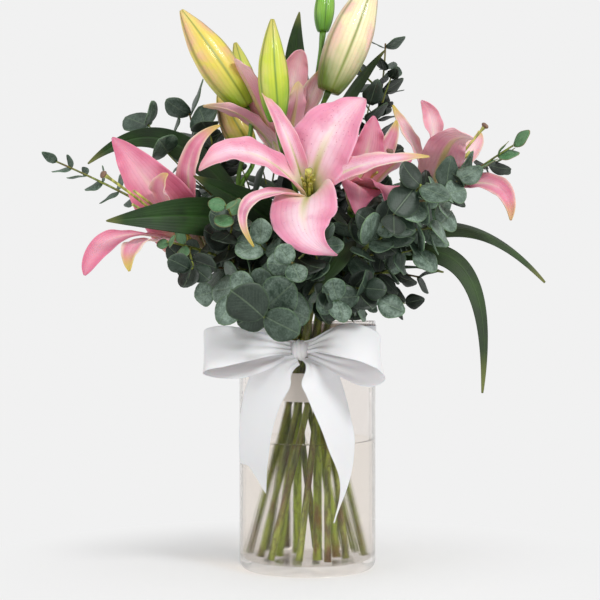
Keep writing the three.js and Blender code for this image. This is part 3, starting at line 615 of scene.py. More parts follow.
# ---- stems ---------------------------------------------------------------------------------------
def waist_slot(ring, degrees):
    """A place in the hexagonal packing of the stems at the waist."""
    off_corner = abs(degrees % 60 - 30) < 1
    reach = ring * WAIST["pitch"] * (math.cos(math.radians(30)) if ring == 2 and off_corner else 1)
    return Vector((reach * math.cos(math.radians(degrees)), reach * math.sin(math.radians(degrees)), 0))


def in_bundle(at, height):
    turn = WAIST["lean"] * (height - WAIST["height"])
    return Vector((at.x - turn * at.y, at.y + turn * at.x, height))


def free_curve(at, end, pull):
    """The part of a stem above the waist."""
    start = in_bundle(at, RISE_FROM)
    lean = in_bundle(at, RISE_FROM + 1) - start
    return Bezier(start, start + lean * 60, Vector(end) - Vector(pull), end)


def branch(free, share, end, into):
    fork = free.at(share)
    reach = (end - fork).length / 2.6
    return Bezier(fork, fork + free.along(share) * reach, end - into * reach, end)


def stem_rod(at, free, thick, finish):
    long, straight = 44, 0.32
    foot = in_bundle(at, STEM_FOOT + (2 if at.length > 10 else 0))
    knots = [(0.05 + 0.93 * k / 9 + 0.02 * wobble(at.x, k + at.y)) for k in range(9)]

    def radius(t, angle):
        swell = sum(math.exp(-(((t - knot) / 0.011) ** 2)) for knot in knots)
        flare = 0.12 * smoothstep(t, 0.03, 0)
        oval = 0.03 * math.sin(2 * angle)
        return mix(*thick, smoothstep(t, straight, 1)) * (0.97 + 0.09 * swell + flare + oval)

    return rod(StemLine(foot, free, straight), radius, long, 10, finish)


# ---- vase, water, sleeve and ribbon --------------------------------------------------------------
def ring_of(height, radius):
    """Picks the edges of a level ring, in millimetres."""

    def on_ring(place):
        return abs(place.z - height) < RING_SLACK and abs(place.xy.length - radius) < RING_SLACK

    return lambda edge: all(on_ring(v.co / MM) for v in edge.verts)


def make_vase():
    radius, height, wall, floor = (VASE[key] for key in ("radius", "height", "wall", "floor"))
    inner = radius - wall
    deselect()
    bpy.ops.mesh.primitive_cylinder_add(
        vertices=128, radius=radius * MM, depth=height * MM, location=(0, 0, height / 2 * MM)
    )
    vase = bpy.context.object
    bpy.ops.object.transform_apply()
    bpy.ops.object.mode_set(mode="EDIT")
    pick(vase, "FACE", lambda face: face.normal.z > 0.9)
    bpy.ops.mesh.inset(thickness=wall * MM)
    bpy.ops.mesh.extrude_region_move(TRANSFORM_OT_translate={"value": (0, 0, (floor - height) * MM)})
    pick(vase, "EDGE", ring_of(0, radius))
    bpy.ops.mesh.bevel(offset=VASE["corner"] * MM, segments=6, profile=0.5)
    pick(vase, "EDGE", ring_of(floor, inner))
    bpy.ops.mesh.bevel(offset=(VASE["corner"] - wall) * MM, segments=5, profile=0.5)
    pick(vase, "EDGE", lambda edge: ring_of(height, radius)(edge) or ring_of(height, inner)(edge))
    bpy.ops.mesh.bevel(offset=1.2 * MM, segments=3, profile=0.5)
    bpy.ops.object.mode_set(mode="OBJECT")
    vase.data.materials.append(GLASS)
    bpy.ops.object.shade_smooth_by_angle(angle=math.radians(30))
    finished(vase, "glass_cylinder", "clear_glass", "glass_vase")
    NEIGHBOURS.add(vase.data, "vase")


def make_water():
    """The water swells 0.1 mm into the glass, and its edge climbs the wall a little."""
    reach = VASE["radius"] - VASE["wall"] + 0.1
    floor = VASE["floor"] - 0.1
    deselect()
    bpy.ops.mesh.primitive_cylinder_add(
        vertices=128, radius=reach * MM, depth=(WATER_LEVEL - floor) * MM,
        location=(0, 0, (WATER_LEVEL + floor) / 2 * MM),
    )
    water = bpy.context.object
    bpy.ops.object.transform_apply()
    bpy.ops.object.mode_set(mode="EDIT")
    pick(water, "EDGE", ring_of(floor, reach))
    bpy.ops.mesh.bevel(offset=(VASE["corner"] - VASE["wall"]) * MM, segments=5, profile=0.5)
    for thickness in (0.6, 0.9, 1.5):
        pick(water, "FACE", lambda face: face.normal.z > 0.9 and len(face.verts) > 100)
        bpy.ops.mesh.inset(thickness=thickness * MM)
        drop = -0.9 * MM / (1 + thickness)
        bpy.ops.transform.translate(value=(0, 0, drop))
    bpy.ops.object.mode_set(mode="OBJECT")
    water.data.materials.append(WATER)
    bpy.ops.object.shade_smooth_by_angle(angle=math.radians(40))
    finished(water, "vase_water", "water", "water")


def make_sleeve():
    low, high = SLEEVE["low"], SLEEVE["high"]
    widest = max(in_bundle(waist_slot(2, 0), height).xy.length for height in (low, high))
    inside = widest + TWIG[0] + 0.8
    deselect()
    bpy.ops.mesh.primitive_cylinder_add(
        vertices=72, radius=inside * MM, depth=(high - low) * MM, end_fill_type="NOTHING",
        location=(0, 0, (low + high) / 2 * MM),
    )
    sleeve = bpy.context.object
    bpy.ops.object.transform_apply()
    bpy.ops.object.mode_set(mode="EDIT")
    bpy.ops.mesh.select_all(action="SELECT")
    bpy.ops.mesh.subdivide(number_cuts=2)
    bpy.ops.object.mode_set(mode="OBJECT")
    for vertex in sleeve.data.vertices:
        angle = math.atan2(vertex.co.y, vertex.co.x)
        sway, ripple = math.sin(5 * angle + 60 * vertex.co.z), math.sin(11 * angle)
        vertex.co.xy *= 1 + 0.012 * sway + 0.006 * ripple
    sleeve.data.materials.append(PAPER)
    modify(sleeve, "SOLIDIFY", thickness=SLEEVE["thick"] * MM, offset=1)
    bpy.ops.object.shade_smooth_by_angle(angle=math.radians(35))
    finished(sleeve, "paper_sleeve", "white_paper", "stem_sleeve")


def make_band():
    """The ribbon lies flat round the vase and is drawn together under the knot."""
    half, middle = (BAND["high"] - BAND["low"]) / 2, (BAND["low"] + BAND["high"]) / 2
    reach = VASE["radius"] + 0.4

    class Round(Curve):
        def at(self, t):
            angle = 2 * math.pi * t + math.pi / 2
            return Vector((reach * math.cos(angle), reach * math.sin(angle), middle))

        def along(self, t):
            angle = 2 * math.pi * t + math.pi / 2
            return Vector((-math.sin(angle), math.cos(angle), 0))

    ring = Round()

    def near_knot(t):
        there = ring.at(t)
        return smoothstep(math.hypot(there.x - KNOT.x, there.y + VASE["radius"]) / 34, 0.1, 1)

    band = sheet(
        ring,
        lambda t: half * mix(0.35, 1, near_knot(t)),
        lambda t: Vector((0, 0, -1)),
        lambda t, w: 0.5 * (1 - near_knot(t)) * (1 + math.cos(9 * w)),
        144, 12, RIBBON["thick"], [SATIN], closed=True,
    )
    finished(band, "vase_ribbon_band", "white_satin", "ribbon_band")


def pleat(share):
    """How wide the ribbon is, as a share, at a share of its length from the knot."""
    return mix(0.3, 1, smoothstep(share, 0, 0.3))


# Each strip of the bow: the route of its middle, the direction across it at its start and its end,
# how far one corner of its cut end runs on, and whether both ends are pleated into the knot.
BOW = {
    "bow_loop_left": {
        "route": [(-14, -72, 195), (-36, -80, 198), (-66, -84, 198), (-84, -80, 195), (-87, -75, 192),
                  (-80, -71, 189), (-56, -70, 187), (-32, -69, 189), (-14.5, -66.5, 193)],
        "lean": [(0, 0.5, 0.86), (0, 0.5, 0.86)], "loop": True,
    },
    "bow_loop_right": {
        "route": [(0, -72, 196), (14, -81, 201), (31, -87, 203), (48, -87, 199), (59, -83, 192),
                  (60, -78, 185), (50, -75, 180), (27, -72, 183), (1, -66.5, 191)],
        "lean": [(0, 0.75, 0.66), (0, 0.45, 0.9)], "loop": True,
    },
    "ribbon_tail_left": {
        "route": [(-9, -72.5, 187), (-23, -71, 180), (-36, -62, 160), (-44, -52, 131), (-46, -48, 103),
                  (-46, -47, 87)],
        "lean": [(0.75, -0.3, -0.6), (0.55, -0.83, 0)], "slant": 14,
    },
    "ribbon_tail_right": {
        "route": [(-3, -72.5, 187), (6, -77, 180), (12, -76, 166), (22, -71, 139), (29, -68, 112),
                  (31, -66, 84), (22, -64, 48)],
        "lean": [(0.85, 0.3, -0.4), (0.45, 0.9, -0.1)], "point": True,
    },
}


def make_strip(name, route, lean, loop=False, slant=0, point=False):
    spine = Spline(route)

    def gathered(t):
        return pleat(min(t, 1 - t) if loop else t)

    def half(t):
        end = 1 - 0.96 * smoothstep(t, 0.6, 1) if point else 1
        return RIBBON["width"] / 2 * gathered(t) * end

    def lift(t, w):
        folds = 1.5 * (1 - gathered(t)) * math.cos(3.2 * math.pi * w)
        roll = 0.5 * math.sin(5 * t + 2 * w)
        return folds + roll * gathered(t)

    def side(t):
        return Vector(lean[0]).lerp(Vector(lean[1]), t)

    strip = sheet(spine, half, side, lift, 64, 14, RIBBON["thick"], [SATIN], slant)
    piece = name.replace("bow_loop", "satin_loop").replace("ribbon_tail", "satin_tail")
    finished(strip, piece, "white_satin", name)
    steps = 200
    length = sum((spine.at((k + 1) / steps) - spine.at(k / steps)).length for k in range(steps)) * MM
    NEIGHBOURS.add(strip.data, name)


def make_knot():
    """A short wrap of ribbon, pleated from top to bottom."""
    deselect()
    bpy.ops.mesh.primitive_uv_sphere_add(segments=48, ring_count=28, radius=1)
    knot = bpy.context.object
    for vertex in knot.data.vertices:
        x, y, z = vertex.co
        sides = 1 + 0.16 * (abs(z) ** 2) * (1 - abs(x))
        folds = 1 + 0.055 * math.cos(13 * x + 1.6 * z) * (1 - x * x)
        vertex.co = (KNOT + Vector((7.2 * x * sides, 6 * y * folds, 8.6 * z * folds))) * MM
    knot.data.materials.append(SATIN)
    bpy.ops.object.shade_smooth()
    finished(knot, "satin_knot", "white_satin", "bow_knot")


# ---- lilies --------------------------------------------------------------------------------------
# A tepal: bend is the handle that pulls it over, tip its end, half its greatest half-width, belly how
# near its tip that comes, cup how far its edges rise, roll its turn at its foot and its tip in degrees,
# point how narrow its ends are, and gold how yellow its tip and margins are. Petals and sepals follow
# in turn.
LILIES = {
    "front": {
        "foot": (1, -32, 323), "axis": (-0.05, -0.86, 0.51), "trumpet": 38, "face": FRONT_FACE,
        "tepals": {
            "top": dict(
                bend=(16, -82, 388), tip=(49, -46, 408),
                half=28, belly=0.9, cup=0.14, roll=(0, -8), point=0.75,
            ),
            "right": dict(
                bend=(52, -112, 352), tip=(100, -96, 354),
                half=10, roll=(0, -20), gold=0.9,
            ),
            "bottom": dict(
                bend=(-22, -146, 284), tip=(24, -116, 272),
                half=27, belly=0.8, cup=-0.1, roll=(0, 14), point=1.2,
            ),
            "lower_left": dict(
                bend=(-78, -112, 330), tip=(-44, -112, 279),
                half=5, belly=0.9, gold=1.0,
            ),
            "left": dict(
                bend=(-56, -112, 380), tip=(-89, -108, 341),
                half=14, belly=1.2, roll=(0, 10), point=0.7, gold=0.15,
            ),
            "upper_left": dict(
                bend=(-18, -80, 380), tip=(-39, -60, 413),
                half=7, belly=0.9, cup=0.3, roll=(0, 10), gold=0.5,
            ),
        },
        "pistil": ((0, -60, 338), (1, -70, 344)), "filaments": 6, "stigma": STYLE,
    },
    "left": {
        "foot": (-90, -25, 276), "axis": (-0.46, -0.7, 0.55), "trumpet": 40, "face": DEEP_FACE,
        "tepals": {
            "top": dict(bend=(-139, -80, 344), tip=(-166, -54, 374), half=24, belly=0.62, cup=0.16),
            "upper_right": dict(
                bend=(-116, -66, 368), tip=(-74, -56, 384),
                half=11, belly=0.55, cup=0.3, roll=(0, 50), gold=0.9,
            ),
            "inner": dict(bend=(-136, -78, 328), tip=(-116, -82, 341), half=16, cup=0.3, gold=0.7),
            "bottom": dict(
                bend=(-152, -104, 300), tip=(-145, -112, 259),
                half=11, belly=1.6, cup=0.1, gold=1.0,
            ),
            "lower_left": dict(
                bend=(-170, -96, 308), tip=(-184, -94, 256),
                half=8, belly=2.4, roll=(25, -50), point=0.6,
            ),
            "back": dict(bend=(-150, -34, 344), tip=(-140, -8, 362), half=14),
        },
        "pistil": ((-136, -92, 318), (-166, -112, 338)), "filaments": 2,
    },
    "right": {
        "foot": (98, -2, 316), "axis": (0.5, -0.2, 0.84), "trumpet": 42, "face": PALE_FACE,
        "tepals": {
            "top": dict(
                bend=(117, -10, 394), tip=(99, -16, 410),
                half=10, belly=1.1, roll=(0, -80),
            ),
            "upper_left": dict(
                bend=(90, -2, 376), tip=(76, 14, 410),
                half=8, roll=(0, -50), gold=1.0,
            ),
            "front": dict(bend=(112, -52, 382), tip=(140, -62, 372), half=17, cup=0.15),
            "lower_right": dict(
                bend=(178, -40, 348), tip=(174, -40, 304),
                half=9, belly=1.1, cup=0.3, roll=(40, 66), gold=0.6, face=DEEP_FACE,
            ),
            "right": dict(bend=(158, 8, 372), tip=(154, 26, 388), half=8, gold=0.8),
            "back": dict(bend=(122, 44, 380), tip=(124, 72, 380), half=15),
        },
        "pistil": ((136, -20, 366), (154, -22, 387)), "filaments": 3,
    },
    "upper": {
        "foot": (-16, 8, 350), "axis": (-0.26, -0.12, 0.95), "trumpet": 36, "face": PALE_FACE,
        "tepals": {
            "top": dict(bend=(-16, 10, 440), tip=(-4, -4, 456), half=14, roll=(50, 95), point=0.5),
            "left": dict(
                bend=(-54, -34, 428), tip=(-62, -46, 442),
                half=12, belly=1.2, cup=0.3, roll=(0, -30), point=0.7,
            ),
            "far_left": dict(
                bend=(-56, -40, 404), tip=(-90, -40, 402),
                half=9, roll=(0, 35), gold=0.6,
            ),
            "front": dict(
                bend=(-8, -36, 402), tip=(-9, -50, 422),
                half=14, belly=1.2, roll=(0, 20), point=0.7, gold=0.7,
            ),
            "right": dict(
                bend=(10, -4, 422), tip=(13, -4, 440),
                half=10, belly=1.1, roll=(40, 90), gold=1.0,
            ),
            "back": dict(bend=(-40, 50, 420), tip=(-56, 70, 424), half=15),
        },
        "pistil": ((-34, 4, 400), (-42, 4, 420)), "filaments": 3,
    },
    "middle": {
        "foot": (38, -2, 316), "axis": (0.36, -0.5, 0.78), "trumpet": 32, "face": DEEP_FACE,
        "tepals": {
            "top": dict(bend=(56, -18, 378), tip=(58, -14, 397), half=15),
            "upper_right": dict(bend=(76, -14, 372), tip=(78, -6, 394), half=8, gold=1.0),
            "right": dict(bend=(84, -44, 370), tip=(84, -54, 350), half=16),
            "lower_right": dict(bend=(74, -70, 346), tip=(66, -74, 314), half=18, cup=0.1),
            "bottom": dict(bend=(42, -74, 344), tip=(42, -72, 305), half=19, belly=0.9, cup=0.1),
            "back": dict(bend=(34, 10, 366), tip=(26, 28, 386), half=14),
        },
        "pistil": ((62, -40, 352), (70, -50, 362)), "filaments": 3,
    },
}
RINGS = (3.6, 6.2)  # petals start inside the sepals


def make_tepal(
    lily, index, bend, tip, half, belly=0.8, cup=0.2, roll=(0, 0), point=0.85, gold=0, face=None
):
    axis, foot = Vector(lily["axis"]).normalized(), Vector(lily["foot"])
    radial = square_to(Vector(tip) - foot, axis)
    ring = RINGS[index % 2]
    start = foot + radial * ring + axis * 3
    spine = Bezier(start, start + axis * lily["trumpet"] + radial * (ring + 4), bend, tip)
    across = axis.cross(radial).normalized()
    seed = foot.x + index

    def width(t):
        return 0.8 + 1.6 * (1 - t) + half * math.sin(math.pi * t**belly) ** point

    def lift(t, w):
        hollow = mix(0.6, cup, smoothstep(t, 0.12, 0.5)) * w * w * width(t)
        edge = abs(w) ** 3 * smoothstep(t, 0.15, 0.4) * smoothstep(t, 1.0, 0.85)
        frill = math.sin(26 * t + seed + (1.4 if w > 0 else 0)) + 0.5 * math.sin(49 * t + 3 * seed - w)
        groove = -0.9 * math.exp(-((w / 0.13) ** 2)) * smoothstep(t, 1.0, 0.7)
        return hollow + edge * frill * min(1.5, 0.1 * half) + groove

    def side(t):
        return turned(across, spine.along(t), mix(*roll, smoothstep(t, 0.35, 0.95)))

    tepal = sheet(spine, width, side, lift, 34, 12, 1.0, [face or lily["face"], PETAL_BACK])
    yellow = tepal.data.attributes.new("gold", "FLOAT", "POINT")
    yellow.data.foreach_set("value", [gold] * len(tepal.data.vertices))
    return tepal


def make_pistil(lily):
    axis, foot = Vector(lily["axis"]).normalized(), Vector(lily["foot"])
    bend, end = (Vector(p) for p in lily["pistil"])
    style = Bezier(foot + axis * GAP, bend, end)

    def radius(t, angle):
        return mix(3.2, 1.15, smoothstep(t, 0.05, 0.4)) + 0.8 * smoothstep(t, 0.9, 0.98)

    def lobes(t, angle):
        return 3.3 * math.sin(math.pi * mix(0.12, 0.88, t)) ** 0.6 * (1 + 0.14 * math.cos(3 * angle))

    parts = [rod(style, radius, 30, 12, STYLE)]
    head = Bezier(end - style.along(1) * 1.5, end + style.along(1) * 2.2)
    parts.append(rod(head, lobes, 8, 18, lily.get("stigma", STIGMA)))
    for k in range(lily["filaments"]):
        out = turned(square_to(Vector((0, 0, 1)), axis), axis, 360 * k / lily["filaments"] + 20)
        root = foot + axis * 6 + out * 3
        tip = foot.lerp(end, 0.72) + out * (7 + 1.5 * wobble(foot.x, k))
        filament = Bezier(root, root + axis * 26, tip)
        parts.append(rod(filament, lambda t, angle: mix(1.5, 1.1, t), 12, 8, STYLE))
    return joined(parts)


def make_lilies():
    for name, lily in LILIES.items():
        pistil = finished(make_pistil(lily), f"{name}_lily_pistil", "pale_green", f"lily_{name}_pistil")
        NEIGHBOURS.add(pistil.data, name)
        shapes = enumerate(lily["tepals"].items())
        tepals = {key: make_tepal(lily, k, **shape) for k, (key, shape) in shapes}
        for tepal in tepals.values():
            NEIGHBOURS.add(tepal.data, name)
        if name in ("front", "left", "right"):
            for key, tepal in tepals.items():
                finished(tepal, f"{name}_lily_{key}_petal", "pink_petal", f"lily_{name}_tepal_{key}")
        else:
            corolla = joined(list(tepals.values()))
            finished(corolla, f"{name}_lily_petals", "pink_petal", f"lily_{name}_corolla")


GREEN_BUD = bud_finish("lime_bud", tint(104, 158, 22), tint(198, 210, 60), tint(216, 206, 112),
                       tint(96, 132, 30), tint(206, 196, 92))
BLUSH_BUD = bud_finish("blush_bud", tint(140, 174, 40), tint(232, 212, 88), tint(232, 174, 148),
                       tint(122, 136, 36), tint(236, 214, 124))
CREAM_BUD = bud_finish("cream_bud", tint(104, 128, 46), tint(246, 232, 186), tint(244, 192, 184),
                       tint(118, 136, 44), tint(240, 196, 170))
SPRING_BUD = bud_finish("spring_bud", tint(84, 142, 30), tint(122, 178, 52), tint(140, 188, 70),
                        tint(66, 112, 26), tint(120, 166, 52))

# Each bud: foot, tip, how far its middle is bowed, greatest radius, finish and the turn of its ribs.
BUDS = {
    "upper_left": ((-54, -20, 404), (-109, -32, 486), (-6, -4, 6), 16.5, BLUSH_BUD, 0.2),
    "middle": ((-26, -52, 388), (-30, -56, 474), (-4, 0, 0), 13, GREEN_BUD, 0.9),
    "top_small": ((14, 25, 477), (19, 28, 528), (-2, 0, 0), 9, SPRING_BUD, 0.0),
    "upper_right": ((18, -15, 418), (60, -6, 524), (0, -4, 0), 19, CREAM_BUD, 0.6),
    "low_left": ((-50, 14, 366), (-79, 12, 421), (-4, 0, 0), 13, BLUSH_BUD, 0.4),
    "behind_left": ((-52, 32, 412), (-65, 30, 468), (0, 0, 0), 10, GREEN_BUD, 0.0),
}


def make_bud(name, foot, tip, bow, half, finish, turn):
    foot, tip = Vector(foot), Vector(tip)
    path = Bezier(foot, foot.lerp(tip, 0.5) + Vector(bow), tip)

    def radius(t, angle):
        swell = 1.3 + (half - 1.3) * math.sin(math.pi * mix(0.1, 0.99, t) ** 0.82) ** 0.9
        ribs = math.sin(3 * angle)
        ridge, seam = math.exp(-(1 - ribs) / 0.12), math.exp(-(1 + ribs) / 0.06)
        dents = 0.012 * math.sin(23 * t + 3 * angle) * smoothstep(t, 0.3, 0.6)
        return swell * (1 + (0.05 * ribs + 0.05 * ridge - 0.07 * seam + dents) * math.sin(math.pi * t))

    bud = rod(path, radius, 40, 48, finish)
    modify(bud, "SMOOTH", factor=0.3, iterations=1)
    finished(bud, f"{name}_lily_bud", "bud_green", f"bud_{name}")
    NEIGHBOURS.add(bud.data, f"bud_{name}")


# Lily stems: slot in the waist, the end of the main stem and its pull, what grows from it, and its
# strap leaves with the share of the stem that they leave at, bend, tip, half-width and roll.
LILY_STEMS = {
    "front": {
        "slot": (1, 240), "end": (-8, -22, 318), "pull": (-2, -6, 50), "flowers": ["front"],
        "buds": ["middle"],
        "leaves": [
            (0.55, (-50, -70, 318), (-96, -72, 340), 15, 60),
            (0.45, (48, -92, 290), (0, -96, 240), 17, 30),
        ],
    },
    "left": {
        "slot": (1, 180), "end": (-60, -8, 330), "pull": (-16, 0, 46), "flowers": ["left"],
        "buds": ["upper_left", "low_left"],
        "leaves": [
            (0.7, (-106, -118, 306), (-164, -114, 300), 15, 84),
            (0.85, (-134, 14, 412), (-194, 0, 356), 11, 66),
        ],
    },
    "right": {
        "slot": (1, 0), "end": (70, 4, 292), "pull": (28, 2, 34), "flowers": ["right", "middle"],
        "buds": [],
        "leaves": [
            (0.8, (150, 8, 322), (208, -12, 251), 11, 35),
            (0.6, (164, -28, 306), (149, -46, 156), 11, 40),
            (0.4, (92, -18, 268), (118, -26, 260), 6, 0),
        ],
    },
    "back": {
        "slot": (1, 60), "end": (2, 34, 372), "pull": (0, 2, 60), "flowers": ["upper"],
        "buds": ["top_small", "upper_right", "behind_left"],
        "leaves": [
            (0.9, (-16, 34, 440), (-7, 14, 493), 13, 0),
            (0.8, (40, 40, 430), (70, 18, 460), 7, 60),
            (0.6, (-70, 90, 380), (-110, 118, 318), 13, 0),
        ],
    },
}


def make_strap_leaf(free, share, bend, tip, half, roll):
    start, tip, bend = free.at(share), Vector(tip), Vector(bend)
    rise = start + free.along(share) * 26
    spine = Bezier(start, rise.lerp(bend, 0.35), bend, tip)
    level = (tip - start).cross(Vector((0, 0, 1))).normalized()

    def width(t):
        return 0.6 + 1.6 * (1 - t) + half * math.sin(math.pi * t**0.85) ** 0.9

    def lift(t, w):
        wave = 0.9 * math.sin(9 * t + half) * w * smoothstep(t, 0.2, 0.5)
        groove = 0.7 * math.exp(-((w / 0.1) ** 2)) * smoothstep(t, 1, 0.8)
        return 0.16 * w * w * width(t) + wave - groove

    def side(t):
        return turned(level, spine.along(t), roll)

    return sheet(spine, width, side, lift, 36, 10, 0.7, [STRAP_TOP, STRAP_BACK])


def make_lily_stem(name, stem):
    at = waist_slot(*stem["slot"])
    free = free_curve(at, stem["end"], stem["pull"])
    parts = [stem_rod(at, free, LILY_STEM, LILY_GREEN)]
    feet = []
    for lily in (LILIES[key] for key in stem["flowers"]):
        feet.append((Vector(lily["foot"]), Vector(lily["axis"]).normalized()))
    for key in stem["buds"]:
        foot, tip = (Vector(p) for p in BUDS[key][:2])
        feet.append((foot, (tip - foot).normalized()))
    for foot, into in feet:
        path = branch(free, 0.97, foot + into * 0.5, into)
        flare = lambda t, angle: PEDICEL * (1 + 0.5 * smoothstep(t, 0.85, 1))
        parts.append(rod(path, flare, 24, 10, PEDICEL_GREEN))
    parts += [make_strap_leaf(free, *leaf) for leaf in stem["leaves"]]
    for part in parts:
        NEIGHBOURS.add(part.data, f"stem_{name}")
    finished(joined(parts), f"{name}_lily_stem", "lily_green", f"lily_stem_{name}")


# ---- eucalyptus ----------------------------------------------------------------------------------
# Each sprig: slot in the waist, end and pull of its stem, the share of it where leaves begin, pairs of
# leaves, their length at its foot and its tip, and how slim they are. Twigs leave it at a share of its
# length for their ends, with pairs of leaves of their own. Its bloom setting says how pale its leaves
# are, partly their own waxy bloom and partly painted light, set higher where that part of the bouquet
# is lit and lower where it lies in shade, and fill how many more short twigs it has. Face pulls its
# leaves' faces one way, turn turns its pairs round the stem, lift is how far they fold forwards, and
# leaves shorter than young are light green.
SPRIGS = {
    "low_left": {
        "slot": (2, 180), "end": (-36, -121, 222), "pull": (-4, -46, -22), "first": 0.2, "pairs": 8,
        "leaf": (34, 34), "slim": 1.04, "silver": 1.5, "fill": 2, "lift": 0.15,
        "twigs": [(0.35, (-80, -72, 243), 4, (27, 22)), (0.5, (-58, -100, 240), 4, (28, 24))],
    },
    "low_front": {
        "slot": (2, 210), "end": (-13, -124, 266), "pull": (2, -56, 4), "first": 0.2, "pairs": 8,
        "leaf": (28, 18), "slim": 0.95, "silver": 0.6, "fill": 3,
        "twigs": [(0.45, (-40, -98, 282), 5, (28, 22)), (0.6, (6, -100, 262), 4, (26, 22))],
    },
    "low_right": {
        "slot": (2, 240), "end": (16, -118, 240), "pull": (6, -44, -20), "first": 0.2, "pairs": 8,
        "leaf": (28, 16), "slim": 1.0, "silver": 0.65, "fill": 4,
        "twigs": [(0.4, (52, -92, 284), 5, (29, 25)), (0.55, (46, -92, 246), 4, (28, 22)),
                  (0.3, (60, -56, 236), 4, (26, 21)), (0.2, (34, -66, 226), 3, (24, 20)),
                  (0.6, (24, -108, 236), 4, (23, 19))],
    },
    "mid_left": {
        "slot": (2, 150), "end": (-116, -94, 284), "pull": (-34, -50, 6), "first": 0.15, "pairs": 9,
        "leaf": (28, 12), "slim": 0.9, "silver": 0.55, "fill": 4, "young": 16,
        "twigs": [(0.35, (-104, -66, 268), 4, (27, 23)), (0.5, (-67, -112, 313), 6, (27, 13))],
    },
    "mid_right": {
        "slot": (2, 270), "end": (92, -106, 330), "pull": (20, -56, 30), "first": 0.15, "pairs": 9,
        "leaf": (28, 26), "slim": 1.0, "silver": 1.0, "fill": 4, "lift": 0.3,
        "twigs": [(0.5, (70, -112, 306), 6, (29, 25)), (0.6, (112, -60, 300), 5, (28, 24)),
                  (0.4, (92, -64, 280), 4, (29, 24))],
    },
    "lower_right": {
        "slot": (2, 330), "end": (98, -10, 256), "pull": (46, -4, -10), "first": 0.15, "pairs": 6,
        "leaf": (28, 22), "slim": 0.8, "silver": 0.2, "fill": 4,
        "twigs": [(0.35, (60, 32, 250), 4, (28, 24)), (0.4, (70, -44, 262), 4, (28, 24))],
    },
    "far_right": {
        "slot": (2, 300), "end": (180, -28, 371), "pull": (56, -6, 34), "first": 0.15, "pairs": 12,
        "leaf": (28, 19), "slim": 0.8, "silver": 0.8, "fill": 3, "face": (0.1, -1.2, 0.7), "young": 21,
        "twigs": [(0.55, (128, -52, 338), 4, (27, 22)), (0.45, (112, 10, 312), 4, (27, 22))],
    },
    "far_left": {
        "slot": (2, 120), "end": (-222, -15, 358), "pull": (-80, -4, 34), "first": 0.15, "pairs": 17,
        "leaf": (25, 13), "slim": 0.64, "silver": 0.5, "fill": 2, "face": (-0.1, -0.8, 0.5),
        "twigs": [(0.3, (-78, -14, 292), 4, (27, 22))],
    },
    "upper_left": {
        "slot": (2, 90), "end": (-106, 24, 404), "pull": (-14, 2, 62), "first": 0.15, "pairs": 9,
        "leaf": (32, 29), "slim": 0.95, "silver": 0.4, "fill": 6, "turn": 90,
        "twigs": [(0.6, (-142, 12, 392), 4, (31, 26)), (0.55, (-78, 4, 372), 4, (30, 26)),
                  (0.4, (-124, 6, 366), 4, (34, 30)),
                  (0.45, (-104, 20, 352), 4, (32, 28)), (0.7, (-88, -10, 386), 3, (30, 28)),
                  (0.3, (-58, -4, 352), 4, (32, 28))],
    },
    "upper_right": {
        "slot": (2, 0), "end": (72, 60, 472), "pull": (2, 12, 96), "first": 0.2, "pairs": 12,
        "leaf": (28, 17), "slim": 0.85, "silver": 0.2, "fill": 4,
        "twigs": [(0.6, (56, 24, 412), 4, (25, 20)), (0.7, (76, 40, 438), 4, (21, 16)),
                  (0.45, (34, 34, 386), 4, (26, 22)), (0.3, (-22, 44, 358), 4, (30, 26))],
    },
    "back_right": {
        "slot": (2, 30), "end": (54, 122, 368), "pull": (12, 40, 66), "first": 0.15, "pairs": 8,
        "leaf": (31, 26), "slim": 0.95, "silver": 0.4, "fill": 5,
        "twigs": [(0.5, (96, 84, 320), 4, (29, 24)), (0.6, (20, 112, 402), 4, (28, 22))],
    },
    "back_left": {
        "slot": (2, 60), "end": (-62, 116, 348), "pull": (-30, 46, 60), "first": 0.15, "pairs": 8,
        "leaf": (31, 26), "slim": 0.95, "silver": 0.4, "fill": 5,
        "twigs": [(0.5, (-108, 74, 312), 4, (29, 24)), (0.6, (-30, 100, 398), 4, (28, 22)),
                  (0.4, (-44, 56, 366), 4, (32, 28)), (0.25, (-30, 40, 328), 4, (30, 26))],
    },
}


# Which of the leaf patterns comes first of each pair: round, drawn to a point, or young.
ROUND, DRAWN, YOUNG = 0, 2, 4


def leaf_pattern(variant, top, back):
    """A unit leaf along +X from its stalk, with its face to +Z: 0 is round and 3 drawn to a point."""
    drawn = (0.0, 0.1, 0.45, 0.8)[variant]
    deselect()
    bpy.ops.mesh.primitive_grid_add(x_subdivisions=6, y_subdivisions=4, size=2, calc_uvs=True)
    leaf = bpy.context.object
    for vertex in leaf.data.vertices:
        x, y = vertex.co.x, vertex.co.y
        round_x, round_y = x * math.sqrt(1 - y * y / 2), y * math.sqrt(1 - x * x / 2)
        point = (0.04 + 0.14 * drawn) * max(0, round_x) ** 5
        rim = round_x**2 + round_y**2
        twist = 0.035 * math.sin(3 * round_x + 2.1 * variant) * round_y
        height = 0.05 * rim - 0.07 * abs(round_y) + twist
        height -= 0.06 * round_x * round_x * (1 if variant % 2 else -0.4)
        narrow = 1 - 0.1 * smoothstep(-round_x, 0.3, 1) - 0.3 * drawn * smoothstep(round_x, -0.2, 1)
        narrow *= 1 + 0.03 * math.sin(5 * round_x + variant)
        vertex.co = Vector(((round_x + 1) / 2 + point, round_y * narrow / 2, height))
    leaf.data.materials.append(top)
    leaf.data.materials.append(back)
    modify(leaf, "SOLIDIFY", thickness=0.026, offset=0, material_offset=1)
    bpy.ops.object.shade_smooth()
    leaf.data.attributes.new("tone", "FLOAT", "POINT")
    return leaf


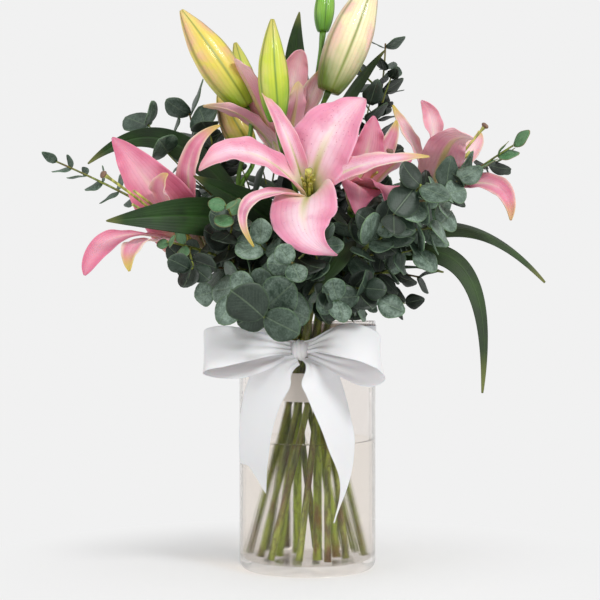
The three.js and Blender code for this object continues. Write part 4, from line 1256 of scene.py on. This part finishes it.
def leaf_places(free, first, pairs, leaf, seed, thick, sprig):
    """Opposite pairs, each turned from the last, with their faces to the tip and to the light."""
    for k in range(pairs):
        share = k / (pairs - 1)
        t = mix(first, 0.985, share)
        centre, tangent = free.at(t), free.along(t)
        light = (centre - HEART).normalized()
        sideways = tangent.cross(light).normalized()
        to_light = sideways.cross(tangent)
        for hand in (1, -1):
            quarter = (72 if k % 2 else 4) + sprig.get("turn", 0)
            roll = math.radians(quarter + 30 * wobble(seed, k + hand))
            outward = sideways * (hand * math.cos(roll)) + to_light * (hand * math.sin(roll))
            fold = 18 + 20 * wobble(seed + 1, k - hand) + 26 * share
            lift = math.radians(fold * sprig.get("lift", 1))
            along = (outward * math.cos(lift) + tangent * math.sin(lift)).normalized()
            tilt = outward * (0.6 * wobble(seed + 3, k + 2 * hand))
            tilt += sideways * (0.5 * wobble(seed + 5, k - 3 * hand))
            face = light * 0.8 + tangent * 0.9 + tilt + Vector(sprig.get("face", (0, 0, 0)))
            grown = mix(*leaf, share)
            length = grown * (1 + 0.16 * wobble(seed + 2, k + 3 * hand))
            # A leaf's tone is partly random and partly painted light: it follows its sprig's bloom
            # setting, set by how lit that part of the bouquet is, and rises towards the sprig's outer
            # end, away from the shade at the bouquet's heart.
            tone = sprig["silver"] * (0.6 + 0.5 * wobble(seed + 4, k + hand)) + 0.3 * (share - 0.5)
            across = face.cross(along).normalized()
            if grown < sprig.get("young", 0):
                kind, tone = YOUNG, 0.8
            else:
                kind = ROUND if sprig["slim"] > 0.85 else DRAWN
            off = 0.5 * mix(*thick, t)
            yield centre, tangent, off, along, across, length, sprig["slim"], kind, tone


# The turns and sizes that a leaf tries in its place, in order.
SWINGS = [(turn, scale) for turn in (0, 20, -20, 40, -40, 65, -65, 90, -90) for scale in (1, 0.8)]
TOUCH = 8  # how many faces of two leaves may meet before they count as crossing


def hang_leaf(patterns, owner, n, place):
    """Copies a leaf to its place, swung round its stem until it hangs clear, or leaves it off."""
    centre, tangent, off, along, across, length, slim, kind, tone = place
    for turn, scale in SWINGS:
        out, wide = turned(along, tangent, turn), turned(across, tangent, turn)
        size = length * scale
        axes = (out * size, wide * (size * slim), out.cross(wide) * size)
        foot = centre + out * off
        rows = [(*(axis[k] * MM for axis in axes), foot[k] * MM) for k in range(3)]
        data = patterns[kind + n % 2].data.copy()
        data.transform(Matrix([*rows, (0, 0, 0, 1)]))
        if NEIGHBOURS.clear(data, owner):
            NEIGHBOURS.add(data, "leaf")
            shade = min(max(tone + 0.12 * wobble(size, n), 0), 1)
            data.attributes["tone"].data.foreach_set("value", [shade] * len(data.vertices))
            leaf = bpy.data.objects.new("leaf", data)
            bpy.context.scene.collection.objects.link(leaf)
            return leaf
        bpy.data.meshes.remove(data)
    return None


def has_room(end):
    """Keeps short twigs inside the bouquet and off the vase and the bow."""
    low, high = (corner / MM for corner in CAD_BOX)
    inside = all(low[k] + 18 < end[k] < high[k] - 18 for k in range(3))
    off_vase = end.z > 232 or (end.z > 212 and end.xy.length > 72)
    return inside and off_vase and not (end.y < -60 and end.z < 226)


FILL_PAIRS, FILL_LEAF = 4, (25, 19)


def fill_ends(free, count, seed):
    """Forks and ends of short twigs, set round the stem by the golden angle."""
    for n in range(count):
        share = 0.2 + 0.62 * n / max(1, count - 1)
        tangent = free.along(share)
        out = turned(square_to(Vector((0.4, 0.1, 1)), tangent), tangent, 137.5 * n + 61 * seed)
        end = free.at(share) + (out * 0.85 + tangent * 0.6) * (38 + 7 * wobble(seed, n))
        if has_room(end):
            yield share, end, FILL_PAIRS, FILL_LEAF


def make_sprigs():
    patterns = [leaf_pattern(variant, LEAF_TOP, LEAF_BACK) for variant in range(4)]
    patterns += [leaf_pattern(variant, YOUNG_TOP, YOUNG_BACK) for variant in (1, 2)]
    sprigs = {}
    for i, (name, sprig) in enumerate(SPRIGS.items()):
        at = waist_slot(*sprig["slot"])
        free = free_curve(at, sprig["end"], sprig["pull"])
        first, pairs, leaf = (sprig[key] for key in ("first", "pairs", "leaf"))
        places = list(leaf_places(free, first, pairs, leaf, i + 1, TWIG, sprig))
        parts = [stem_rod(at, free, TWIG, TWIG_BROWN)]
        NEIGHBOURS.add(parts[0].data, name)
        sprigs[name] = (free, parts, places)
    for i, (name, (free, parts, places)) in enumerate(sprigs.items()):
        sprig = SPRIGS[name]
        twigs = [*sprig["twigs"], *fill_ends(free, sprig["fill"], i)]
        for k, (share, tip, pairs, leaf) in enumerate(twigs):
            twig = branch(free, share, Vector(tip), (Vector(tip) - HEART).normalized())
            part = rod(twig, lambda t, angle: mix(*SIDE_TWIG, t), 20, 8, TWIG_BROWN)
            if k >= len(sprig["twigs"]) and not NEIGHBOURS.clear(part.data, name):
                bpy.data.objects.remove(part)
                continue
            NEIGHBOURS.add(part.data, name)
            parts.append(part)
            places += leaf_places(twig, 0.3, pairs, leaf, 20 + 7 * i + k, SIDE_TWIG, sprig)
    hung = 0
    for name, (free, parts, places) in sprigs.items():
        for place in sorted(places, key=lambda place: -(place[0] - HEART).length):
            leaf = hang_leaf(patterns, name, hung, place)
            hung += 1
            if leaf:
                parts.append(leaf)
        finished(joined(parts), f"{name}_eucalyptus", "eucalyptus_green", f"eucalyptus_{name}")
    for pattern in patterns:
        bpy.data.objects.remove(pattern)


# ---- camera, light and floor ---------------------------------------------------------------------
CAMERA = {"place": (-0.0066, -1.4, 0.236), "lens": 95.2, "sensor": 36}
# Each light: its place and what it is aimed at, in metres, its size and its power.
LIGHTS = {
    "key_light": ((0.95, -1.35, 1.55), (0, 0, 0.26), 0.55, 23),
    "fill_light": ((-1.3, -1.2, 0.7), (0, 0, 0.28), 1.2, 7),
}
BACKDROP = tint(241, 241, 241)[0]
FLOOR_SHADE, FLOOR_GLOW = 0.75, 0.22
FLOOR_FADE = (0.11, 0.32)
SKYLIGHT = 0.5


def make_camera():
    deselect()
    bpy.ops.object.camera_add(location=CAMERA["place"], rotation=(math.radians(90), 0, 0))
    camera = bpy.context.object
    camera.data.lens = CAMERA["lens"]
    camera.data.sensor_width = CAMERA["sensor"]
    bpy.context.scene.camera = camera


def make_light(name, place, aim, size, power):
    deselect()
    turn = (Vector(place) - Vector(aim)).to_track_quat("Z", "Y").to_euler()
    bpy.ops.object.light_add(type="AREA", location=place, rotation=turn)
    lamp = bpy.context.object
    lamp.name = name
    lamp.data.shape = "DISK"
    lamp.data.size = size
    lamp.data.energy = power


def make_studio():
    """A pale floor that takes the soft shadow near the vase and turns into the plain backdrop."""
    deselect()
    bpy.ops.mesh.primitive_circle_add(
        vertices=96, radius=12, fill_type="TRIFAN", location=(0, 0, -0.0005)
    )
    floor = bpy.context.object
    floor.name = "studio_floor"
    skin = Finish("studio_floor", Roughness=0.9, Emission_Strength=FLOOR_GLOW)
    skin.surface.inputs["Base Color"].default_value = (FLOOR_SHADE, FLOOR_SHADE, FLOOR_SHADE, 1)
    skin.surface.inputs["Emission Color"].default_value = (1, 1, 1, 1)
    glow = skin.tree.nodes.new("ShaderNodeEmission")
    glow.inputs["Color"].default_value = (BACKDROP, BACKDROP, BACKDROP, 1)
    here = skin.node("TexCoord", {}, {}, "Object")
    away = skin.node("VectorMath", {"operation": "LENGTH"}, {0: here}, 1)
    fade = skin.node("MixShader", {}, {0: away.step(*FLOOR_FADE)})
    skin.tree.links.new(skin.surface.outputs[0], fade.socket.node.inputs[1])
    skin.tree.links.new(glow.outputs[0], fade.socket.node.inputs[2])
    skin.tree.links.new(fade.socket, skin.tree.nodes["Material Output"].inputs["Surface"])
    floor.data.materials.append(skin.material)
    floor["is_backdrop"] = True
    world = bpy.data.worlds.new("studio")
    bpy.context.scene.world = world
    world.use_nodes = True
    links, nodes = world.node_tree.links, world.node_tree.nodes
    rays = nodes.new("ShaderNodeLightPath")
    strength = nodes.new("ShaderNodeMapRange")
    strength.inputs["To Min"].default_value = BACKDROP
    strength.inputs["To Max"].default_value = SKYLIGHT
    links.new(rays.outputs["Is Diffuse Ray"], strength.inputs["Value"])
    links.new(strength.outputs[0], nodes["Background"].inputs["Strength"])
    nodes["Background"].inputs["Color"].default_value = (1, 1, 1, 1)
    for name, light in LIGHTS.items():
        make_light(name, *light)
    bpy.context.scene.view_settings.view_transform = "Standard"


make_camera()
make_studio()
make_vase()
make_water()
make_sleeve()
make_band()
make_knot()
for strip, form in BOW.items():
    make_strip(strip, **form)
make_lilies()
for bud_name, bud_shape in BUDS.items():
    make_bud(bud_name, *bud_shape)
for stem_name, stem_shape in LILY_STEMS.items():
    make_lily_stem(stem_name, stem_shape)
make_sprigs()

boxes = {"cad": CAD_BOX, "visual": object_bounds()}
{key: [list(corner) for corner in box] for key, box in boxes.items()}
